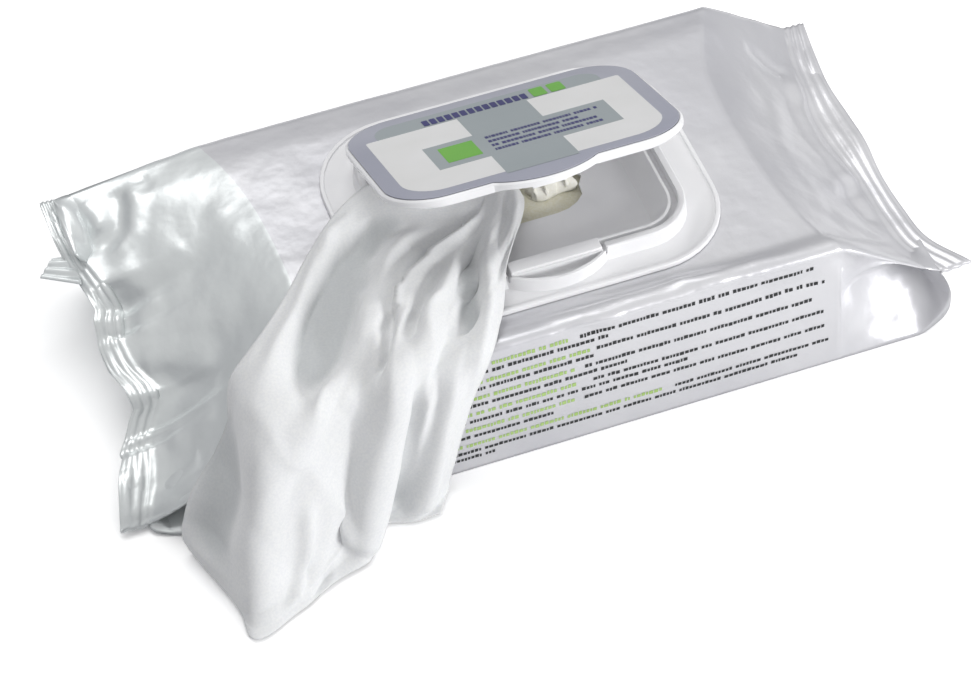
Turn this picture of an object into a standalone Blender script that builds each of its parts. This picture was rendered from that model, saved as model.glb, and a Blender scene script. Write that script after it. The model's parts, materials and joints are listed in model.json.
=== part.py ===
"""Flow-wrapped pack of wet wipes with a hinged flip-top lid.

The pack lies on its flat underside. +X runs along it, +Y to the lid's hinge side, +Z up.
The origin is the centre of the flat underside. All values are metres.
"""
from collections import namedtuple
from math import cos, pi, radians, sin, sqrt

import bmesh
import bpy
from mathutils import Vector

MM = 0.001
CLEARANCE = 0.3 * MM

# Pouch, as it lies
PACK_WIDTH = 133.0 * MM
PACK_HEIGHT = 57.0 * MM
FILM = 0.5 * MM
SEAL_THICKNESS = 1.2 * MM
FRONT_RIDGE_RISE = 2.4 * MM
BACK_EDGE_DROP = 1.8 * MM
EDGE_ROUND = 3.0 * MM
SIDE_SWELL = 1.2 * MM
LEFT_SHOULDER = 100.0 * MM
RIGHT_SHOULDER = 97.0 * MM
LEFT_SLOPE = 41.0 * MM
RIGHT_SLOPE = 28.0 * MM
LEFT_SEAL_WIDTH = 9.0 * MM
RIGHT_SEAL_WIDTH = 10.0 * MM
LEFT_SEAL_HEIGHT_FRONT = 3.2 * MM
LEFT_SEAL_HEIGHT_BACK = 46.0 * MM
RIGHT_SEAL_HEIGHT = 31.0 * MM
LEFT_SEAL_SHIFT = 15.0 * MM
LEFT_BULGE = 8.0 * MM
RIGHT_BULGE = 14.0 * MM
LEFT_SOFTNESS = 0.35
RIGHT_SOFTNESS = 0.55
SEAL_RIB = 0.35 * MM
SEAL_RIBS = 3
BOTTOM_LIFT_START = 0.55
BOTTOM_LIFT_POWER = 1.3
DRAW_IN_POWER = 1.5
FOLD_START_POWER = 2
FOLD_FADE = 0.6
SIDE_OPEN_POWER = 6
EDGE_ROUND_SHARE = 0.45
HOLLOW_TAPER = 0.15

# Dispensing frame
FRAME_X = 1.3 * MM
FRAME_Y = -1.2 * MM
COLLAR_LENGTH = 103.9 * MM
COLLAR_WIDTH = 80.6 * MM
COLLAR_CORNER = 18.0 * MM
COLLAR_HEIGHT = 6.9 * MM
FLANGE_MARGIN_X = 12.6 * MM
FLANGE_MARGIN_Y = 10.7 * MM
FLANGE_THICKNESS = 1.0 * MM
FLANGE_BEAD = 0.6 * MM
FLANGE_BEAD_WIDTH = 1.8 * MM
RIM_WIDTH = 2.6 * MM
GROOVE_WIDTH = 2.8 * MM
GROOVE_DEPTH = 3.2 * MM
GROOVE_SHARE_Y = 0.62
LIP_WIDTH = 1.0 * MM
LIP_DROP = 0.4 * MM
TRAY_SLOPE_X = 6.8 * MM
TRAY_SLOPE_Y = 1.7 * MM
TRAY_SINK = 0.3 * MM
TRAY_WALL = 1.0 * MM
ORIFICE_LENGTH = 49.0 * MM
ORIFICE_WIDTH = 28.0 * MM
ORIFICE_NUB = 1.8 * MM

# Thumb well in the frame, latch bar behind it and thumb tab of the lid
THUMB_X = 0.5 * MM
THUMB_HALF_WIDTH = 18.6 * MM
THUMB_REACH = 6.9 * MM
THUMB_WALL = 1.2 * MM
THUMB_FLOOR = 1.3 * MM
LATCH_HALF_LENGTH = 16.5 * MM
LATCH_RISE = 0.6 * MM
LATCH_NOTCH = 1.6 * MM
HOOK_LENGTH = 12.0 * MM
HOOK_DEPTH = 1.6 * MM

# Lid, open as photographed
LID_OPEN = radians(24.5)
LID_THICKNESS = 1.4 * MM
LID_SKIRT = 1.8 * MM
LID_SKIRT_WALL = 1.6 * MM
LID_EDGE = 0.7 * MM
LID_OVERHANG = 1.9 * MM
LID_RIB_WIDTH = 1.0 * MM
LID_RIB_REACH = 0.9 * MM
HINGE_RADIUS = 0.9 * MM
HINGE_LENGTH = 62.0 * MM
LABEL_MARGIN = 1.2 * MM
LABEL_THICKNESS = 0.3 * MM
LABEL_POCKET = 0.3 * MM

# Wipes
WIPE_THICKNESS = 1.0 * MM
STACK_END_PLAY = 2.5 * MM
STACK_SIDE_PLAY = 2.5 * MM
STACK_FOLDS = 9
STACK_FOLD_INSET = 0.6
NEXT_WIPE_RISE = 4.5 * MM
NEXT_WIPE_LEFT = 5.0 * MM
NEXT_WIPE_PLAY = 4.5 * MM
NEXT_WIPE_SWAY = 2.5 * MM
NEXT_WIPE_CURL = 1.5 * MM

# Levels and places that follow from the sizes above
HALF_WIDTH = PACK_WIDTH / 2
FLANGE_UNDERSIDE = PACK_HEIGHT + CLEARANCE
FLANGE_TOP = FLANGE_UNDERSIDE + FLANGE_THICKNESS
RIM_TOP = FLANGE_UNDERSIDE + COLLAR_HEIGHT
TRAY_FLOOR = FLANGE_UNDERSIDE - TRAY_SINK
TRAY_UNDERSIDE = TRAY_FLOOR - TRAY_WALL
STACK_TOP = PACK_HEIGHT - BACK_EDGE_DROP - FILM - CLEARANCE
COLLAR_FRONT = FRAME_Y - COLLAR_WIDTH / 2
COLLAR_BACK = FRAME_Y + COLLAR_WIDTH / 2
HINGE = Vector((FRAME_X, COLLAR_BACK, RIM_TOP))
FLANGE_FRONT = COLLAR_FRONT - FLANGE_MARGIN_Y
FLANGE_BACK = COLLAR_BACK + FLANGE_MARGIN_Y

CORNER_STEPS = 10
BULGE_STEPS = 20
ACROSS_STEPS = 32
SIDE_STEPS = 6
SPLINE_STEPS = 4

# How far each seal's inner and outer edge lies beyond the slope's end, front to back, in mm
LEFT_INNER_WANDER = (12.0, 5.0, 2.0, -3.5, 0.5, 0.0, 2.5, 6.0, 8.7)
LEFT_OUTER_WANDER = (13.0, 8.5, 3.0, -2.3, -0.1, -0.2, 0.0, 3.4, 4.5)
RIGHT_INNER_WANDER = (9.0, 1.5, 0.0, 0.0, -1.5, -2.0, 0.0, 2.5, 7.0)
RIGHT_OUTER_WANDER = (10.5, 1.5, -0.2, -1.3, 0.0, 0.1, 0.1, 1.5, 4.3)
# How far the fin of each seal is bent up or down along its length, in mm
LEFT_WAVE = (0.0, 2.5, -2.0, 3.0, -2.5, 2.5, -3.0, 1.5, 0.0)
RIGHT_WAVE = (1.0, 0.0, -1.0, 0.5, 1.5, 0.5, -0.5, 0.5, 0.0)
# How far beyond the shoulder the top film starts to slope, front to back, in mm
LEFT_BOW = (-4.0, -13.5, -15.0, -12.5, -4.0)
RIGHT_BOW = (-3.0, -11.0, -13.0, -11.5, 1.0)
# Crumpled seal: share of its length from front to back, lift in mm, reach inwards in mm
LEFT_FOLDS = ((0.0, -1.0, 0.0), (0.03, 1.2, 0.0), (0.12, 1.4, 0.0), (0.20, 1.0, 0.5), (0.235, -2.0, -0.8),
              (0.27, -1.5, 0.8), (0.30, 0.0, 2.0), (0.32, 2.0, 3.5), (0.345, 3.6, 2.0), (0.40, 1.0, 0.0),
              (0.50, 0.8, 0.0), (0.556, -0.5, 0.0), (0.60, 0.3, 0.5), (0.633, -2.0, 2.2), (0.70, 3.0, 0.5),
              (0.80, 0.3, -0.5), (1.0, 0.0, 0.0))
RIGHT_FOLDS = ((0.0, 0.0, 0.0), (1.0, 0.0, 0.0))


def clear_scene():
    for item in list(bpy.data.objects):
        bpy.data.objects.remove(item, do_unlink=True)
    for group in list(bpy.data.collections):
        bpy.data.collections.remove(group)


def new_collection(name):
    group = bpy.data.collections.new(name)
    bpy.context.scene.collection.children.link(group)
    return group


def plastic(name, colour, roughness, metallic=0.0):
    material = bpy.data.materials.new(name)
    material.use_nodes = True
    shader = material.node_tree.nodes["Principled BSDF"]
    shader.inputs["Base Color"].default_value = (*colour, 1.0)
    shader.inputs["Roughness"].default_value = roughness
    shader.inputs["Metallic"].default_value = metallic
    return material


def lerp(a, b, share):
    return a + (b - a) * share


def smooth(share):
    """Ease from 0 to 1 with level ends."""
    share = min(max(share, 0.0), 1.0)
    return share * share * (3.0 - 2.0 * share)


def spline(points, place):
    """Catmull-Rom curve through evenly spaced numbers or vectors; place runs from 0 to 1."""
    span = len(points) - 1
    index = min(int(place * span), span - 1)
    t = place * span - index
    p1, p2 = points[index], points[index + 1]
    p0 = points[index - 1] if index else p1 * 2 - p2
    p3 = points[index + 2] if index + 2 <= span else p2 * 2 - p1
    return (p1 * 2 + (p2 - p0) * t + (p0 * 2 - p1 * 5 + p2 * 4 - p3) * t ** 2
            + (p1 * 3 - p0 - p2 * 3 + p3) * t ** 3) * 0.5


def add_mesh(name, group, material, mesh_data):
    """Make a named object from a bmesh, with its faces pointing out."""
    bmesh.ops.recalc_face_normals(mesh_data, faces=mesh_data.faces)
    mesh = bpy.data.meshes.new(name)
    mesh_data.to_mesh(mesh)
    mesh_data.free()
    mesh.shade_smooth()
    mesh.set_sharp_from_angle(angle=radians(35.0))
    item = bpy.data.objects.new(name, mesh)
    group.objects.link(item)
    if material:
        mesh.materials.append(material)
    else:
        item.hide_render = True
        item.display_type = "WIRE"
    return item


def loft(name, group, rings, material=None):
    """Closed solid through rings of points, with a flat cap on the first and the last."""
    body = bmesh.new()
    loops = [[body.verts.new(point) for point in ring] for ring in rings]
    for low, high in zip(loops, loops[1:]):
        for i in range(len(low)):
            j = (i + 1) % len(low)
            body.faces.new((low[i], low[j], high[j], high[i]))
    body.faces.new(loops[0])
    body.faces.new(loops[-1])
    return add_mesh(name, group, material, body)


def sheet(name, group, rows, thickness, material):
    """Sheet through rows of points, given its thickness by Solidify."""
    body = bmesh.new()
    grid = [[body.verts.new(point) for point in row] for row in rows]
    for low, high in zip(grid, grid[1:]):
        for i in range(len(low) - 1):
            body.faces.new((low[i], low[i + 1], high[i + 1], high[i]))
    item = add_mesh(name, group, material, body)
    solid = item.modifiers.new("thickness", "SOLIDIFY")
    solid.thickness = thickness
    solid.offset = 0.0
    solid.use_even_offset = False
    return item


def prism(name, group, outline, low, high, material=None):
    """Upright solid between two heights over an outline of (x, y) points."""
    rings = [[(x, y, level) for x, y in outline] for level in (low, high)]
    return loft(name, group, rings, material)


def block(name, group, low, high):
    """Box between two corners, for cutting and joining."""
    outline = [(low[0], low[1]), (high[0], low[1]), (high[0], high[1]), (low[0], high[1])]
    return prism(name, group, outline, low[2], high[2])


def combine(item, tool, operation):
    change = item.modifiers.new(tool.name, "BOOLEAN")
    change.operation = operation
    change.solver = "EXACT"
    change.object = tool


def rounded_rectangle(centre, length, width, radius, front_points=()):
    """Anticlockwise outline from the front left corner; front_points replace the front edge."""
    cx, cy = centre
    outline = []
    corners = ((-1, -1, pi), (1, -1, 1.5 * pi), (1, 1, 0.0), (-1, 1, 0.5 * pi))
    for side_x, side_y, start in corners:
        for step in range(CORNER_STEPS + 1):
            angle = start + 0.5 * pi * step / CORNER_STEPS
            outline.append((cx + side_x * (length / 2 - radius) + radius * cos(angle),
                            cy + side_y * (width / 2 - radius) + radius * sin(angle)))
        if side_x < 0 and side_y < 0:
            outline.extend(front_points)
    return outline


def collar_outline(inset_x, inset_y=None, bulge=0.0, with_front=False):
    """Outline of the collar, moved in by the insets, with the thumb bulge where it is asked for."""
    inset_y = inset_x if inset_y is None else inset_y
    length = COLLAR_LENGTH - 2 * inset_x
    width = COLLAR_WIDTH - 2 * inset_y
    radius = max(COLLAR_CORNER - (inset_x + inset_y) / 2, 2 * MM)
    front = []
    if with_front:
        for step in range(BULGE_STEPS + 1):
            x = THUMB_X + THUMB_HALF_WIDTH * lerp(-1, 1, step / BULGE_STEPS)
            front.append((x, COLLAR_FRONT + inset_y - bulge * thumb_bulge(x)))
    return rounded_rectangle((FRAME_X, FRAME_Y), length, width, radius, front)


def thumb_bulge(x):
    """How far the thumb arc stands out at x, 0 at its ends and 1 at its middle."""
    radius = (THUMB_HALF_WIDTH ** 2 + THUMB_REACH ** 2) / (2 * THUMB_REACH)
    away = min(abs(x - THUMB_X), THUMB_HALF_WIDTH)
    return (sqrt(radius ** 2 - away ** 2) - (radius - THUMB_REACH)) / THUMB_REACH


# Pouch

PouchEnd = namedtuple("PouchEnd", "side shoulder slope seal_width front_y front_z back_y back_z "
                                  "bulge softness inner outer wave bow folds")

LEFT_END = PouchEnd(-1, LEFT_SHOULDER, LEFT_SLOPE, LEFT_SEAL_WIDTH,
                    -HALF_WIDTH + LEFT_SEAL_SHIFT, LEFT_SEAL_HEIGHT_FRONT,
                    HALF_WIDTH, LEFT_SEAL_HEIGHT_BACK, LEFT_BULGE, LEFT_SOFTNESS,
                    LEFT_INNER_WANDER, LEFT_OUTER_WANDER, LEFT_WAVE, LEFT_BOW, LEFT_FOLDS)
RIGHT_END = PouchEnd(1, RIGHT_SHOULDER, RIGHT_SLOPE, RIGHT_SEAL_WIDTH,
                     -HALF_WIDTH, RIGHT_SEAL_HEIGHT, HALF_WIDTH, RIGHT_SEAL_HEIGHT,
                     RIGHT_BULGE, RIGHT_SOFTNESS,
                     RIGHT_INNER_WANDER, RIGHT_OUTER_WANDER, RIGHT_WAVE, RIGHT_BOW, RIGHT_FOLDS)


def fold_at(folds, across):
    """Lift and inward reach of a crumpled seal, straight from one fold to the next."""
    for (start, lift, inward), (stop, next_lift, next_inward) in zip(folds, folds[1:]):
        if across <= stop:
            share = (across - start) / (stop - start)
            return lerp(lift, next_lift, share) * MM, lerp(inward, next_inward, share) * MM
    return 0.0, 0.0


def seal_point(end, across, outward, folded=1.0):
    """Middle of the seal's thickness; across, outward and folded run from 0 to 1."""
    inner = spline(end.inner, across) * MM
    outer = end.seal_width + spline(end.outer, across) * MM
    lift, inward = fold_at(end.folds, across)
    reach = end.shoulder + end.slope + lerp(inner, outer, outward) - inward * folded
    wave = spline(end.wave, across) * MM * outward
    rise = lift * folded * (1 - FOLD_FADE * outward)
    return Vector((end.side * reach,
                   lerp(end.front_y, end.back_y, across),
                   lerp(end.front_z, end.back_z, across) + wave + rise))


def top_level(y):
    """Height of the film's top: level under the frame, a slack ridge in front, lower behind."""
    slack_start = FLANGE_FRONT - 2 * MM
    front = smooth((slack_start - y) / (slack_start + HALF_WIDTH - EDGE_ROUND))
    back = smooth((y - FLANGE_BACK) / (HALF_WIDTH - FLANGE_BACK))
    edge = max(0.0, abs(y) - (HALF_WIDTH - EDGE_ROUND)) / EDGE_ROUND
    rounding = EDGE_ROUND * EDGE_ROUND_SHARE * edge ** 2
    return PACK_HEIGHT + FRONT_RIDGE_RISE * front - BACK_EDGE_DROP * back - rounding


def panel_rows(end, reach, first=0.0, last=1.0):
    """Top and bottom film, from a first to a last share of the width, front to back.

    Reach is the share of the slope from shoulder to seal.
    """
    top, bottom = [], []
    half_seal = SEAL_THICKNESS / 2
    fall = lerp(reach, smooth(reach), end.softness)
    rise = max(0.0, (reach - BOTTOM_LIFT_START) / (1 - BOTTOM_LIFT_START)) ** BOTTOM_LIFT_POWER
    swell = end.side * end.bulge * sin(pi * reach * reach)
    for step in range(ACROSS_STEPS + 1):
        across = lerp(first, last, step / ACROSS_STEPS)
        y = lerp(-HALF_WIDTH, HALF_WIDTH, across)
        seal = seal_point(end, across, 0.0, reach ** FOLD_START_POWER)
        high_x = lerp(end.side * (end.shoulder + spline(end.bow, across) * MM), seal.x, reach)
        low_x = lerp(end.side * end.shoulder, seal.x, reach) + swell
        y_here = lerp(y, seal.y, reach ** DRAW_IN_POWER)
        top.append(Vector((high_x, y_here, lerp(top_level(y), seal.z + half_seal, fall))))
        bottom.append(Vector((low_x, y_here, lerp(0.0, seal.z - half_seal, rise))))
    return top, bottom


def gusset_tuck(high, low, panel):
    """Depth of the fold in a side panel that keeps its height while its corners close."""
    half_gap = (high - low).length / 2
    return sqrt(max((panel / 2) ** 2 - half_gap ** 2, 0.0))


def pouch_ring(end, reach):
    """Outer section of the pouch, with its two side panels folded inwards."""
    top, bottom = panel_rows(end, reach)

    def side(high, low, panel, inward):
        tuck = gusset_tuck(high, low, panel)
        openness = ((high - low).length / panel) ** SIDE_OPEN_POWER
        points = []
        for step in range(1, SIDE_STEPS):
            share = step / SIDE_STEPS
            point = high.lerp(low, share)
            fold = 1 - abs(2 * share - 1)
            point.y += inward * (tuck * fold - SIDE_SWELL * openness * sin(pi * share))
            points.append(point)
        return points

    back = side(top[-1], bottom[-1], top_level(HALF_WIDTH), -1)
    front = side(top[0], bottom[0], top_level(-HALF_WIDTH), 1)
    return top + back + bottom[::-1] + front[::-1]


def pouch_inner_ring(end, reach):
    """Section of the hollow, a film's thickness inside and clear of the folded side panels."""
    top, bottom = panel_rows(end, reach)
    margin = lerp(FILM, 3 * FILM, smooth(reach / HOLLOW_TAPER))
    front_tuck = gusset_tuck(top[0], bottom[0], top_level(-HALF_WIDTH)) + margin
    back_tuck = gusset_tuck(top[-1], bottom[-1], top_level(HALF_WIDTH)) + margin
    width = top[-1].y - top[0].y
    top, bottom = panel_rows(end, reach, front_tuck / width, 1 - back_tuck / width)
    for top_point, bottom_point in zip(top, bottom):
        top_point.z -= margin
        bottom_point.z += margin
    back = [top[-1].lerp(bottom[-1], i / SIDE_STEPS) for i in range(1, SIDE_STEPS)]
    front = [bottom[0].lerp(top[0], i / SIDE_STEPS) for i in range(1, SIDE_STEPS)]
    return top + back + bottom[::-1] + front


def fin_rings(end):
    """Rings across the ribbed seal, from its inner to its outer edge."""
    rings = []
    steps = 2 * SEAL_RIBS
    for step in range(steps + 1):
        outward = step / steps
        rib = SEAL_RIB if step % 2 else 0.0
        half = SEAL_THICKNESS / 2
        middle = [seal_point(end, i / ACROSS_STEPS, outward) for i in range(ACROSS_STEPS + 1)]
        up = Vector((0, 0, 1))
        top = [point + up * (half + rib) for point in middle]
        bottom = [point + up * (rib - half) for point in middle]
        back = [top[-1].lerp(bottom[-1], i / SIDE_STEPS) for i in range(1, SIDE_STEPS)]
        front = [bottom[0].lerp(top[0], i / SIDE_STEPS) for i in range(1, SIDE_STEPS)]
        rings.append(top + back + bottom[::-1] + front)
    return rings


def build_pouch(parts, tools):
    outer_reaches = (0.0, 0.15, 0.3, 0.45, 0.6, 0.72, 0.84, 0.94)
    inner_reaches = outer_reaches[:5]
    left = [pouch_ring(LEFT_END, reach) for reach in outer_reaches]
    right = [pouch_ring(RIGHT_END, reach) for reach in outer_reaches]
    rings = fin_rings(LEFT_END)[::-1] + left[::-1] + right + fin_rings(RIGHT_END)
    film = plastic("white_film", (0.86, 0.87, 0.89), 0.28)
    pouch = loft("film_pouch", parts, rings, film)
    inside = [pouch_inner_ring(LEFT_END, reach) for reach in inner_reaches][::-1]
    inside += [pouch_inner_ring(RIGHT_END, reach) for reach in inner_reaches]
    combine(pouch, loft("pouch_inside", tools, inside), "DIFFERENCE")
    window = collar_outline(TRAY_INSET_X - 2 * TRAY_WALL, TRAY_INSET_Y - 2 * TRAY_WALL)
    cutter = prism("film_window", tools, window, TRAY_UNDERSIDE - 4 * MM, FLANGE_TOP)
    combine(pouch, cutter, "DIFFERENCE")
    return pouch


# Frame

GROOVE_INNER_X = RIM_WIDTH + GROOVE_WIDTH
GROOVE_INNER_Y = (RIM_WIDTH + GROOVE_WIDTH) * GROOVE_SHARE_Y + LIP_WIDTH
LIP_INNER_X = GROOVE_INNER_X + LIP_WIDTH
LIP_INNER_Y = GROOVE_INNER_Y + LIP_WIDTH
TRAY_INSET_X = LIP_INNER_X + TRAY_SLOPE_X
TRAY_INSET_Y = LIP_INNER_Y + TRAY_SLOPE_Y
RIM_INNER_Y = RIM_WIDTH * GROOVE_SHARE_Y + LIP_WIDTH


def build_frame(parts, tools):
    draft = 0.3 * MM
    bead_top = FLANGE_TOP + FLANGE_BEAD
    groove_floor = RIM_TOP - GROOVE_DEPTH
    lip_top = RIM_TOP - LIP_DROP
    tray_outside = (TRAY_INSET_X - TRAY_WALL, TRAY_INSET_Y - TRAY_WALL)
    flange = (-FLANGE_MARGIN_X, -FLANGE_MARGIN_Y)
    bead_inner = (flange[0] + FLANGE_BEAD_WIDTH, flange[1] + FLANGE_BEAD_WIDTH)
    levels = [
        (*tray_outside, TRAY_UNDERSIDE),
        (*tray_outside, FLANGE_UNDERSIDE),
        (*flange, FLANGE_UNDERSIDE),
        (*flange, FLANGE_TOP),
        (flange[0] + draft, flange[1] + draft, bead_top),
        (bead_inner[0] - draft, bead_inner[1] - draft, bead_top),
        (*bead_inner, FLANGE_TOP),
        (-2 * draft, -2 * draft, FLANGE_TOP),
        (0.0, 0.0, RIM_TOP - 2 * draft),
        (2 * draft, 2 * draft, RIM_TOP),
        (RIM_WIDTH, RIM_INNER_Y, RIM_TOP),
        (RIM_WIDTH + draft, RIM_INNER_Y + draft / 2, groove_floor),
        (GROOVE_INNER_X - draft, GROOVE_INNER_Y - draft / 2, groove_floor),
        (GROOVE_INNER_X, GROOVE_INNER_Y, lip_top),
        (LIP_INNER_X, LIP_INNER_Y, lip_top),
        (TRAY_INSET_X, TRAY_INSET_Y, TRAY_FLOOR),
    ]
    rings = [[(x, y, z) for x, y in collar_outline(inset_x, inset_y)] for inset_x, inset_y, z in levels]
    white = plastic("white_moulding", (0.88, 0.88, 0.89), 0.35)
    frame = loft("lid_frame", parts, rings, white)
    combine(frame, thumb_wall(tools), "UNION")
    combine(frame, latch_bar(tools), "UNION")
    combine(frame, thumb_hollow(tools), "DIFFERENCE")
    combine(frame, latch_notches(tools), "DIFFERENCE")
    combine(frame, hinge_rod("hinge_seat", tools, HINGE, HINGE_RADIUS + CLEARANCE,
                             HINGE_LENGTH / 2 + CLEARANCE), "DIFFERENCE")
    combine(frame, orifice_cutter(tools), "DIFFERENCE")
    return frame


def thumb_arc(inset, back):
    """Outline of the thumb arc, moved in by inset and closed along a straight back."""
    outline = []
    for step in range(BULGE_STEPS + 1):
        x = THUMB_X + (THUMB_HALF_WIDTH - inset) * lerp(-1, 1, step / BULGE_STEPS)
        y = COLLAR_FRONT - THUMB_REACH * thumb_bulge(x) + inset
        outline.append((x, min(y, back - 0.2 * MM)))
    outline.append((outline[-1][0], back))
    outline.append((outline[0][0], back))
    return outline


def thumb_wall(tools):
    outline = thumb_arc(0.0, COLLAR_FRONT + 1.5 * MM)
    return prism("thumb_wall", tools, outline, FLANGE_UNDERSIDE + FLANGE_THICKNESS / 2, RIM_TOP - 0.2 * MM)


def thumb_hollow(tools):
    outline = thumb_arc(THUMB_WALL, COLLAR_FRONT - 0.6 * MM)
    return prism("thumb_hollow", tools, outline, FLANGE_TOP + THUMB_FLOOR, RIM_TOP + 2 * MM)


def latch_bar(tools):
    low = (THUMB_X - LATCH_HALF_LENGTH, COLLAR_FRONT + 0.15 * MM, FLANGE_TOP)
    high = (THUMB_X + LATCH_HALF_LENGTH, COLLAR_FRONT + LIP_INNER_Y, RIM_TOP + LATCH_RISE)
    bar = block("latch_bar", tools, low, high)
    edge = bar.modifiers.new("rounded", "BEVEL")
    edge.width = 0.5 * MM
    edge.segments = 2
    return bar


def latch_notches(tools):
    """Slots that part the springy latch bar from the rim at both its ends."""
    notch = bmesh.new()
    for side in (-1, 1):
        made = bmesh.ops.create_cube(notch, size=1.0)["verts"]
        centre = Vector((THUMB_X + side * (LATCH_HALF_LENGTH + LATCH_NOTCH / 2),
                         COLLAR_FRONT + RIM_INNER_Y / 2, RIM_TOP))
        size = (LATCH_NOTCH, RIM_INNER_Y + 2 * MM, 2 * (GROOVE_DEPTH - LIP_DROP))
        for vert in made:
            vert.co = centre + Vector([vert.co[i] * size[i] for i in range(3)])
    return add_mesh("latch_notches", tools, None, notch)


def orifice_cutter(tools):
    """Oblong mouth with a small pinching nub in each of its ends."""
    outline = []
    steps = 10
    for end, start in ((1, -0.5), (-1, 0.5)):
        centre = THUMB_X + end * (ORIFICE_LENGTH - ORIFICE_WIDTH) / 2
        for step in range(steps + 1):
            angle = (start + step / steps) * pi
            radius = ORIFICE_WIDTH / 2 - ORIFICE_NUB * (abs(step - steps / 2) == 1)
            outline.append((centre + radius * cos(angle), radius * sin(angle)))
    return prism("orifice", tools, outline, TRAY_UNDERSIDE - 2 * MM, TRAY_FLOOR + 2 * MM)


def hinge_rod(name, group, centre, radius, half_length):
    """Rod along X on the hinge axis."""
    rings = []
    steps = 14
    for x in (centre[0] - half_length, centre[0] + half_length):
        angles = [2 * pi * step / steps for step in range(steps)]
        rings.append([(x, centre[1] + radius * cos(a), centre[2] + radius * sin(a)) for a in angles])
    return loft(name, group, rings)


# Lid and label, modelled shut with the hinge axis at their own origin

def lid_ring(inset, level, bulge=THUMB_REACH, inset_y=None):
    outline = collar_outline(inset, inset_y, bulge, with_front=True)
    return [(x - HINGE.x, y - HINGE.y, level) for x, y in outline]


def build_lid(parts, tools):
    skirt_foot = CLEARANCE
    plate_low = skirt_foot + LID_SKIRT
    plate_high = plate_low + LID_THICKNESS
    rib_x = (RIM_WIDTH + GROOVE_INNER_X - LID_RIB_WIDTH) / 2
    rib_y = (RIM_INNER_Y + GROOVE_INNER_Y - LID_RIB_WIDTH) / 2
    rib_foot = skirt_foot - LID_RIB_REACH
    pocket = LABEL_MARGIN - CLEARANCE
    rings = [
        lid_ring(rib_x + LID_RIB_WIDTH, plate_low, 0.0, rib_y + LID_RIB_WIDTH),
        lid_ring(rib_x + LID_RIB_WIDTH, rib_foot, 0.0, rib_y + LID_RIB_WIDTH),
        lid_ring(rib_x, rib_foot, 0.0, rib_y),
        lid_ring(rib_x, plate_low, 0.0, rib_y),
        lid_ring(LID_SKIRT_WALL, plate_low, 0.0, LID_SKIRT_WALL),
        lid_ring(LID_SKIRT_WALL, skirt_foot, 0.0, LID_SKIRT_WALL),
        lid_ring(0.2 * MM, skirt_foot, 0.0),
        lid_ring(-LID_OVERHANG, skirt_foot + LID_SKIRT / 2, inset_y=0.0),
        lid_ring(-LID_OVERHANG, plate_high - LID_EDGE, inset_y=0.0),
        lid_ring(LID_EDGE - LID_OVERHANG, plate_high, inset_y=LID_EDGE),
        lid_ring(pocket - LID_OVERHANG, plate_high, inset_y=pocket),
        lid_ring(pocket - LID_OVERHANG, plate_high - LABEL_POCKET, inset_y=pocket),
    ]
    white = bpy.data.materials["white_moulding"]
    lid = loft("lid", parts, rings, white)
    combine(lid, hinge_rod("hinge_bead", tools, (0, 0, 0), HINGE_RADIUS, HINGE_LENGTH / 2), "UNION")
    latch_room = block("latch_room", tools,
                       (THUMB_X - HINGE.x - LATCH_HALF_LENGTH - LATCH_NOTCH,
                        COLLAR_FRONT - HINGE.y + 0.1 * MM, -4 * MM),
                       (THUMB_X - HINGE.x + LATCH_HALF_LENGTH + LATCH_NOTCH,
                        COLLAR_FRONT - HINGE.y + LIP_INNER_Y + LATCH_NOTCH, LATCH_RISE + CLEARANCE))
    combine(lid, latch_room, "DIFFERENCE")
    hook_front = COLLAR_FRONT - HINGE.y - 1.6 * MM
    hook = block("latch_hook", tools,
                 (THUMB_X - HINGE.x - HOOK_LENGTH / 2, hook_front, skirt_foot - HOOK_DEPTH),
                 (THUMB_X - HINGE.x + HOOK_LENGTH / 2, hook_front + 1.2 * MM, plate_low + LID_THICKNESS / 2))
    combine(lid, hook, "UNION")
    lid.location = HINGE
    lid.rotation_euler = (-LID_OPEN, 0.0, 0.0)
    for tool in (tools.objects[name] for name in ("hinge_bead", "latch_room", "latch_hook")):
        tool.parent = lid
    return lid


def build_label(parts, lid):
    low = CLEARANCE + LID_SKIRT + LID_THICKNESS - LABEL_POCKET + CLEARANCE
    rings = [lid_ring(LABEL_MARGIN - LID_OVERHANG, level, inset_y=LABEL_MARGIN)
             for level in (low, low + LABEL_THICKNESS)]
    grey = plastic("label_print", (0.36, 0.37, 0.43), 0.4)
    label = loft("lid_label", parts, rings, grey)
    label.parent = lid
    return label


# Wipes

def build_stack(parts):
    """Stack of folded wipes; each fold shows as a round edge along both sides."""
    low = FILM + CLEARANCE
    high = STACK_TOP
    half = HALF_WIDTH - FILM - STACK_SIDE_PLAY
    fold = (high - low) / STACK_FOLDS
    arc = 4
    front, back = [], []
    for index in range(STACK_FOLDS):
        for step in range(arc + 1):
            angle = pi * step / arc
            out = half - fold / 2 * (1 - sin(angle)) * STACK_FOLD_INSET
            z = low + fold * (index + (1 - cos(angle)) / 2)
            if step < arc or index == STACK_FOLDS - 1:
                back.append((out, z))
                front.append((-out, z))
    profile = back + front[::-1]
    rings = []
    for end in (LEFT_END, RIGHT_END):
        x = end.side * (end.shoulder + min(end.bow) * MM - STACK_END_PLAY)
        rings.append([(x, y, z) for y, z in profile])
    cloth = plastic("stack_nonwoven", (0.84, 0.82, 0.72), 0.9)
    return loft("wipe_stack", parts, rings, cloth)


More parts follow.
